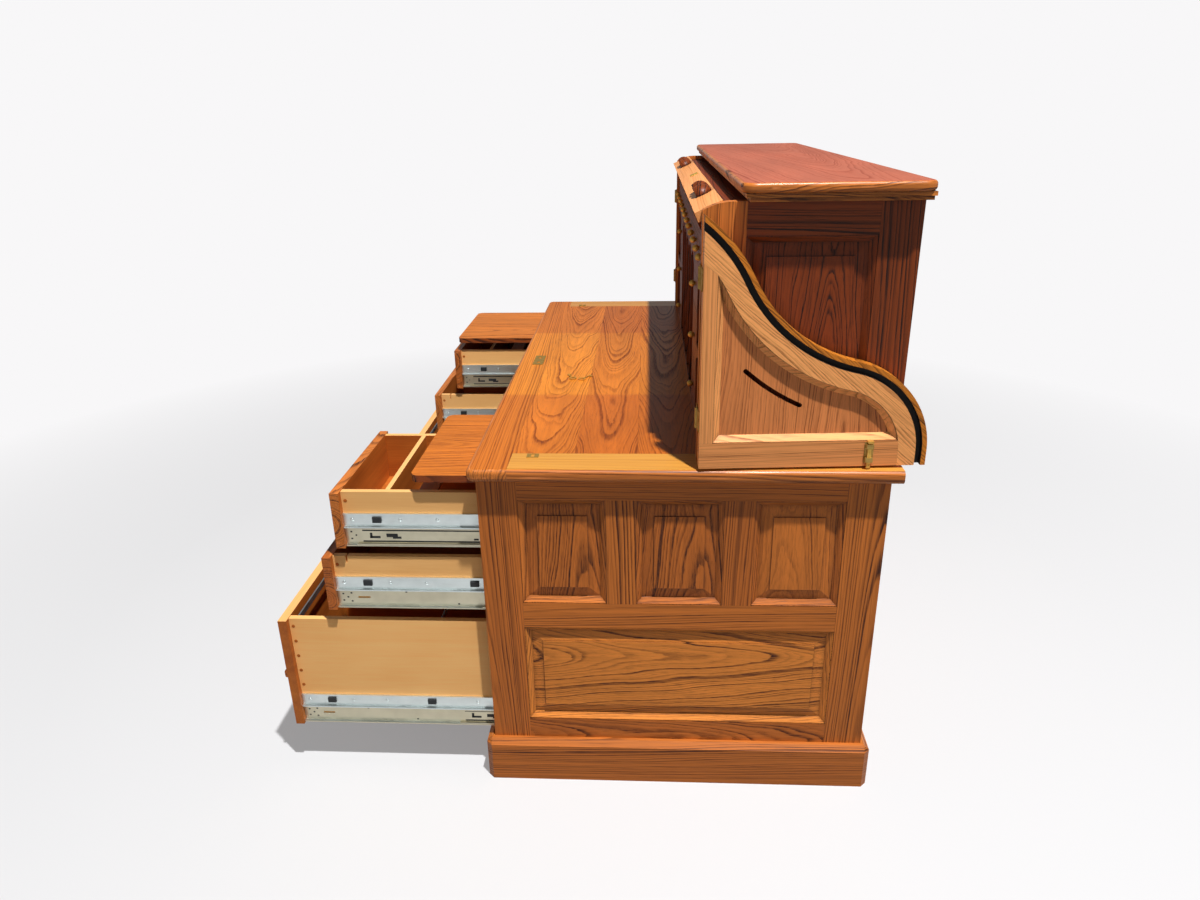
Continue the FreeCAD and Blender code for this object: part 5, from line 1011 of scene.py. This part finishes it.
class DESK_OT_stage(Operator):
    """Lays the floor, hangs the lamp and sets up the camera"""
    bl_idname = "desk.stage"
    bl_label = "Stage"

    def execute(self, context):
        scene = context.scene
        scene.view_settings.view_transform = "Standard"
        self.floor(scene)
        self.world(scene)
        self.lamp(scene)
        self.camera(scene)
        return {"FINISHED"}

    def floor(self, scene):
        """A wide floor that fades into the backdrop far from the desk."""
        shape = bmesh.new()
        bmesh.ops.create_grid(shape, x_segments=2, y_segments=2, size=FLOOR_SIZE)
        mesh = bpy.data.meshes.new("floor")
        shape.to_mesh(mesh)
        shape.free()
        made = bpy.data.objects.new("floor", mesh)
        scene.collection.objects.link(made)
        mesh.materials.append(self.floor_paper(scene.desk_stage))

    def floor_paper(self, settings):
        """Matt studio paper, which is lit plainly near the desk and is the backdrop's colour far off."""
        backdrop = rgba(settings.backdrop)
        material, tree, shader = shaded("studio floor", Roughness=0.9, Specular_IOR_Level=0.0,
                                        Emission_Color=backdrop)
        spot = add(tree, "NewGeometry").outputs["Position"]
        apart = add(tree, "VectorMath", (spot,), operation="LENGTH").outputs["Value"]
        rays = add(tree, "LightPath").outputs
        ray = rays["Is Camera Ray"]
        other = add(tree, "Math", (rays["Is Glossy Ray"], rays["Is Transmission Ray"]),
                    operation="MAXIMUM")
        looked = add(tree, "Math", (ray, other), operation="MAXIMUM")
        bounced = rgba([c * FLOOR_BOUNCE for c in settings.floor])
        seen = rgba([c * FLOOR_SEEN for c in settings.floor])
        shade = add(tree, "Mix", {0: looked, 6: bounced, 7: seen}, data_type="RGBA").outputs[2]
        lift = add(tree, "Math", (ray, FLOOR_LIFT), operation="MULTIPLY")
        fill(tree, shader, {"Base Color": shade, "Emission Strength": lift})
        fading = add(tree, "MapRange", (apart, *FLOOR_FADE))
        far = add(tree, "Math", (ray, fading), operation="MULTIPLY")
        glow = add(tree, "Emission", (backdrop, 1.0))
        mix = add(tree, "MixShader", (far, shader, glow))
        output = next(n for n in tree.nodes if n.type == "OUTPUT_MATERIAL")
        fill(tree, output, (mix,))
        return material

    def world(self, scene):
        """Light from soft walls all round, little from above, and the backdrop behind the desk."""
        world = bpy.data.worlds.new("studio")
        scene.world = world
        world.use_nodes = True
        tree = world.node_tree
        tree.nodes.clear()
        rays = add(tree, "LightPath").outputs
        toward = add(tree, "TexCoord").outputs["Generated"]
        rise = add(tree, "SeparateXYZ", (toward,)).outputs["Z"]
        walls = add(tree, "MapRange", (rise, *WALLS))
        mirrored = add(tree, "MapRange", (rise, *MIRRORED_WALLS))
        strength = add(tree, "Mix", {0: rays["Is Glossy Ray"], 2: walls, 3: mirrored})
        shown = add(tree, "Background", (rgba(scene.desk_stage.backdrop), 1.0))
        light = add(tree, "Background", ((1.0, 1.0, 1.0, 1.0), strength))
        direct = add(tree, "Math", (rays["Is Camera Ray"], rays["Is Transmission Ray"]),
                     operation="MAXIMUM")
        mix = add(tree, "MixShader", (direct, light, shown))
        add(tree, "OutputWorld", (mix,))

    def lamp(self, scene):
        """A round area lamp, high behind the right end of the desk."""
        light = bpy.data.lights.new("key", "AREA")
        light.shape = "DISK"
        light.size = KEY_SIZE
        light.energy = KEY_POWER
        made = bpy.data.objects.new("key", light)
        made.location = KEY_PLACE
        made.rotation_euler = (Vector(KEY_AIM) - Vector(KEY_PLACE)).to_track_quat("-Z", "Y").to_euler()
        scene.collection.objects.link(made)

    def camera(self, scene):
        """The photograph's viewpoint."""
        settings = scene.desk_stage
        lens = bpy.data.cameras.new("camera")
        lens.sensor_width = SENSOR_WIDTH
        lens.lens = settings.lens
        lens.clip_end = 100.0
        yaw, pitch, roll = settings.yaw, settings.pitch, settings.roll
        level = math.cos(pitch)
        ahead = Vector((-math.cos(yaw) * level, math.sin(yaw) * level, -math.sin(pitch)))
        right = ahead.cross(Vector((0, 0, 1))).normalized()
        up = right.cross(ahead)
        across = right * math.cos(roll) + up * math.sin(roll)
        upward = up * math.cos(roll) - right * math.sin(roll)
        matrix = Matrix((across, upward, -ahead)).transposed().to_4x4()
        matrix.translation = Vector(CAMERA_PLACE)
        made = bpy.data.objects.new("camera", lens)
        made.matrix_world = matrix
        scene.collection.objects.link(made)
        scene.camera = made


class DESK_PT_desk(Panel):
    """The desk's pieces in the sidebar"""
    bl_idname = "DESK_PT_desk"
    bl_label = "Roll top desk"
    bl_space_type = "VIEW_3D"
    bl_region_type = "UI"
    bl_category = "Desk"

    def draw(self, context):
        for settings in (context.scene.desk_wood, context.scene.desk_metal, context.scene.desk_stage):
            column = self.layout.column()
            for name in settings.__annotations__:
                column.prop(settings, name)
        for operator in STEPS:
            self.layout.operator(operator.bl_idname)


STEPS = (DESK_OT_body, DESK_OT_desktop, DESK_OT_drawers, DESK_OT_slides, DESK_OT_hutch,
         DESK_OT_fittings, DESK_OT_wings, DESK_OT_curtain, DESK_OT_brasswork, DESK_OT_stage)
CLASSES = (WoodSettings, MetalSettings, StageSettings, *STEPS, DESK_PT_desk)


def register():
    for item in CLASSES:
        bpy.utils.register_class(item)
    bpy.types.Scene.desk_wood = PointerProperty(type=WoodSettings)
    bpy.types.Scene.desk_metal = PointerProperty(type=MetalSettings)
    bpy.types.Scene.desk_stage = PointerProperty(type=StageSettings)


def unregister():
    del bpy.types.Scene.desk_stage
    del bpy.types.Scene.desk_metal
    del bpy.types.Scene.desk_wood
    for item in reversed(CLASSES):
        bpy.utils.unregister_class(item)


def main():
    """Makes every piece."""
    register()
    for step in STEPS:
        group, name = step.bl_idname.split(".")
        getattr(getattr(bpy.ops, group), name)()
    bpy.context.view_layer.update()


if __name__ == "__main__":
    main()
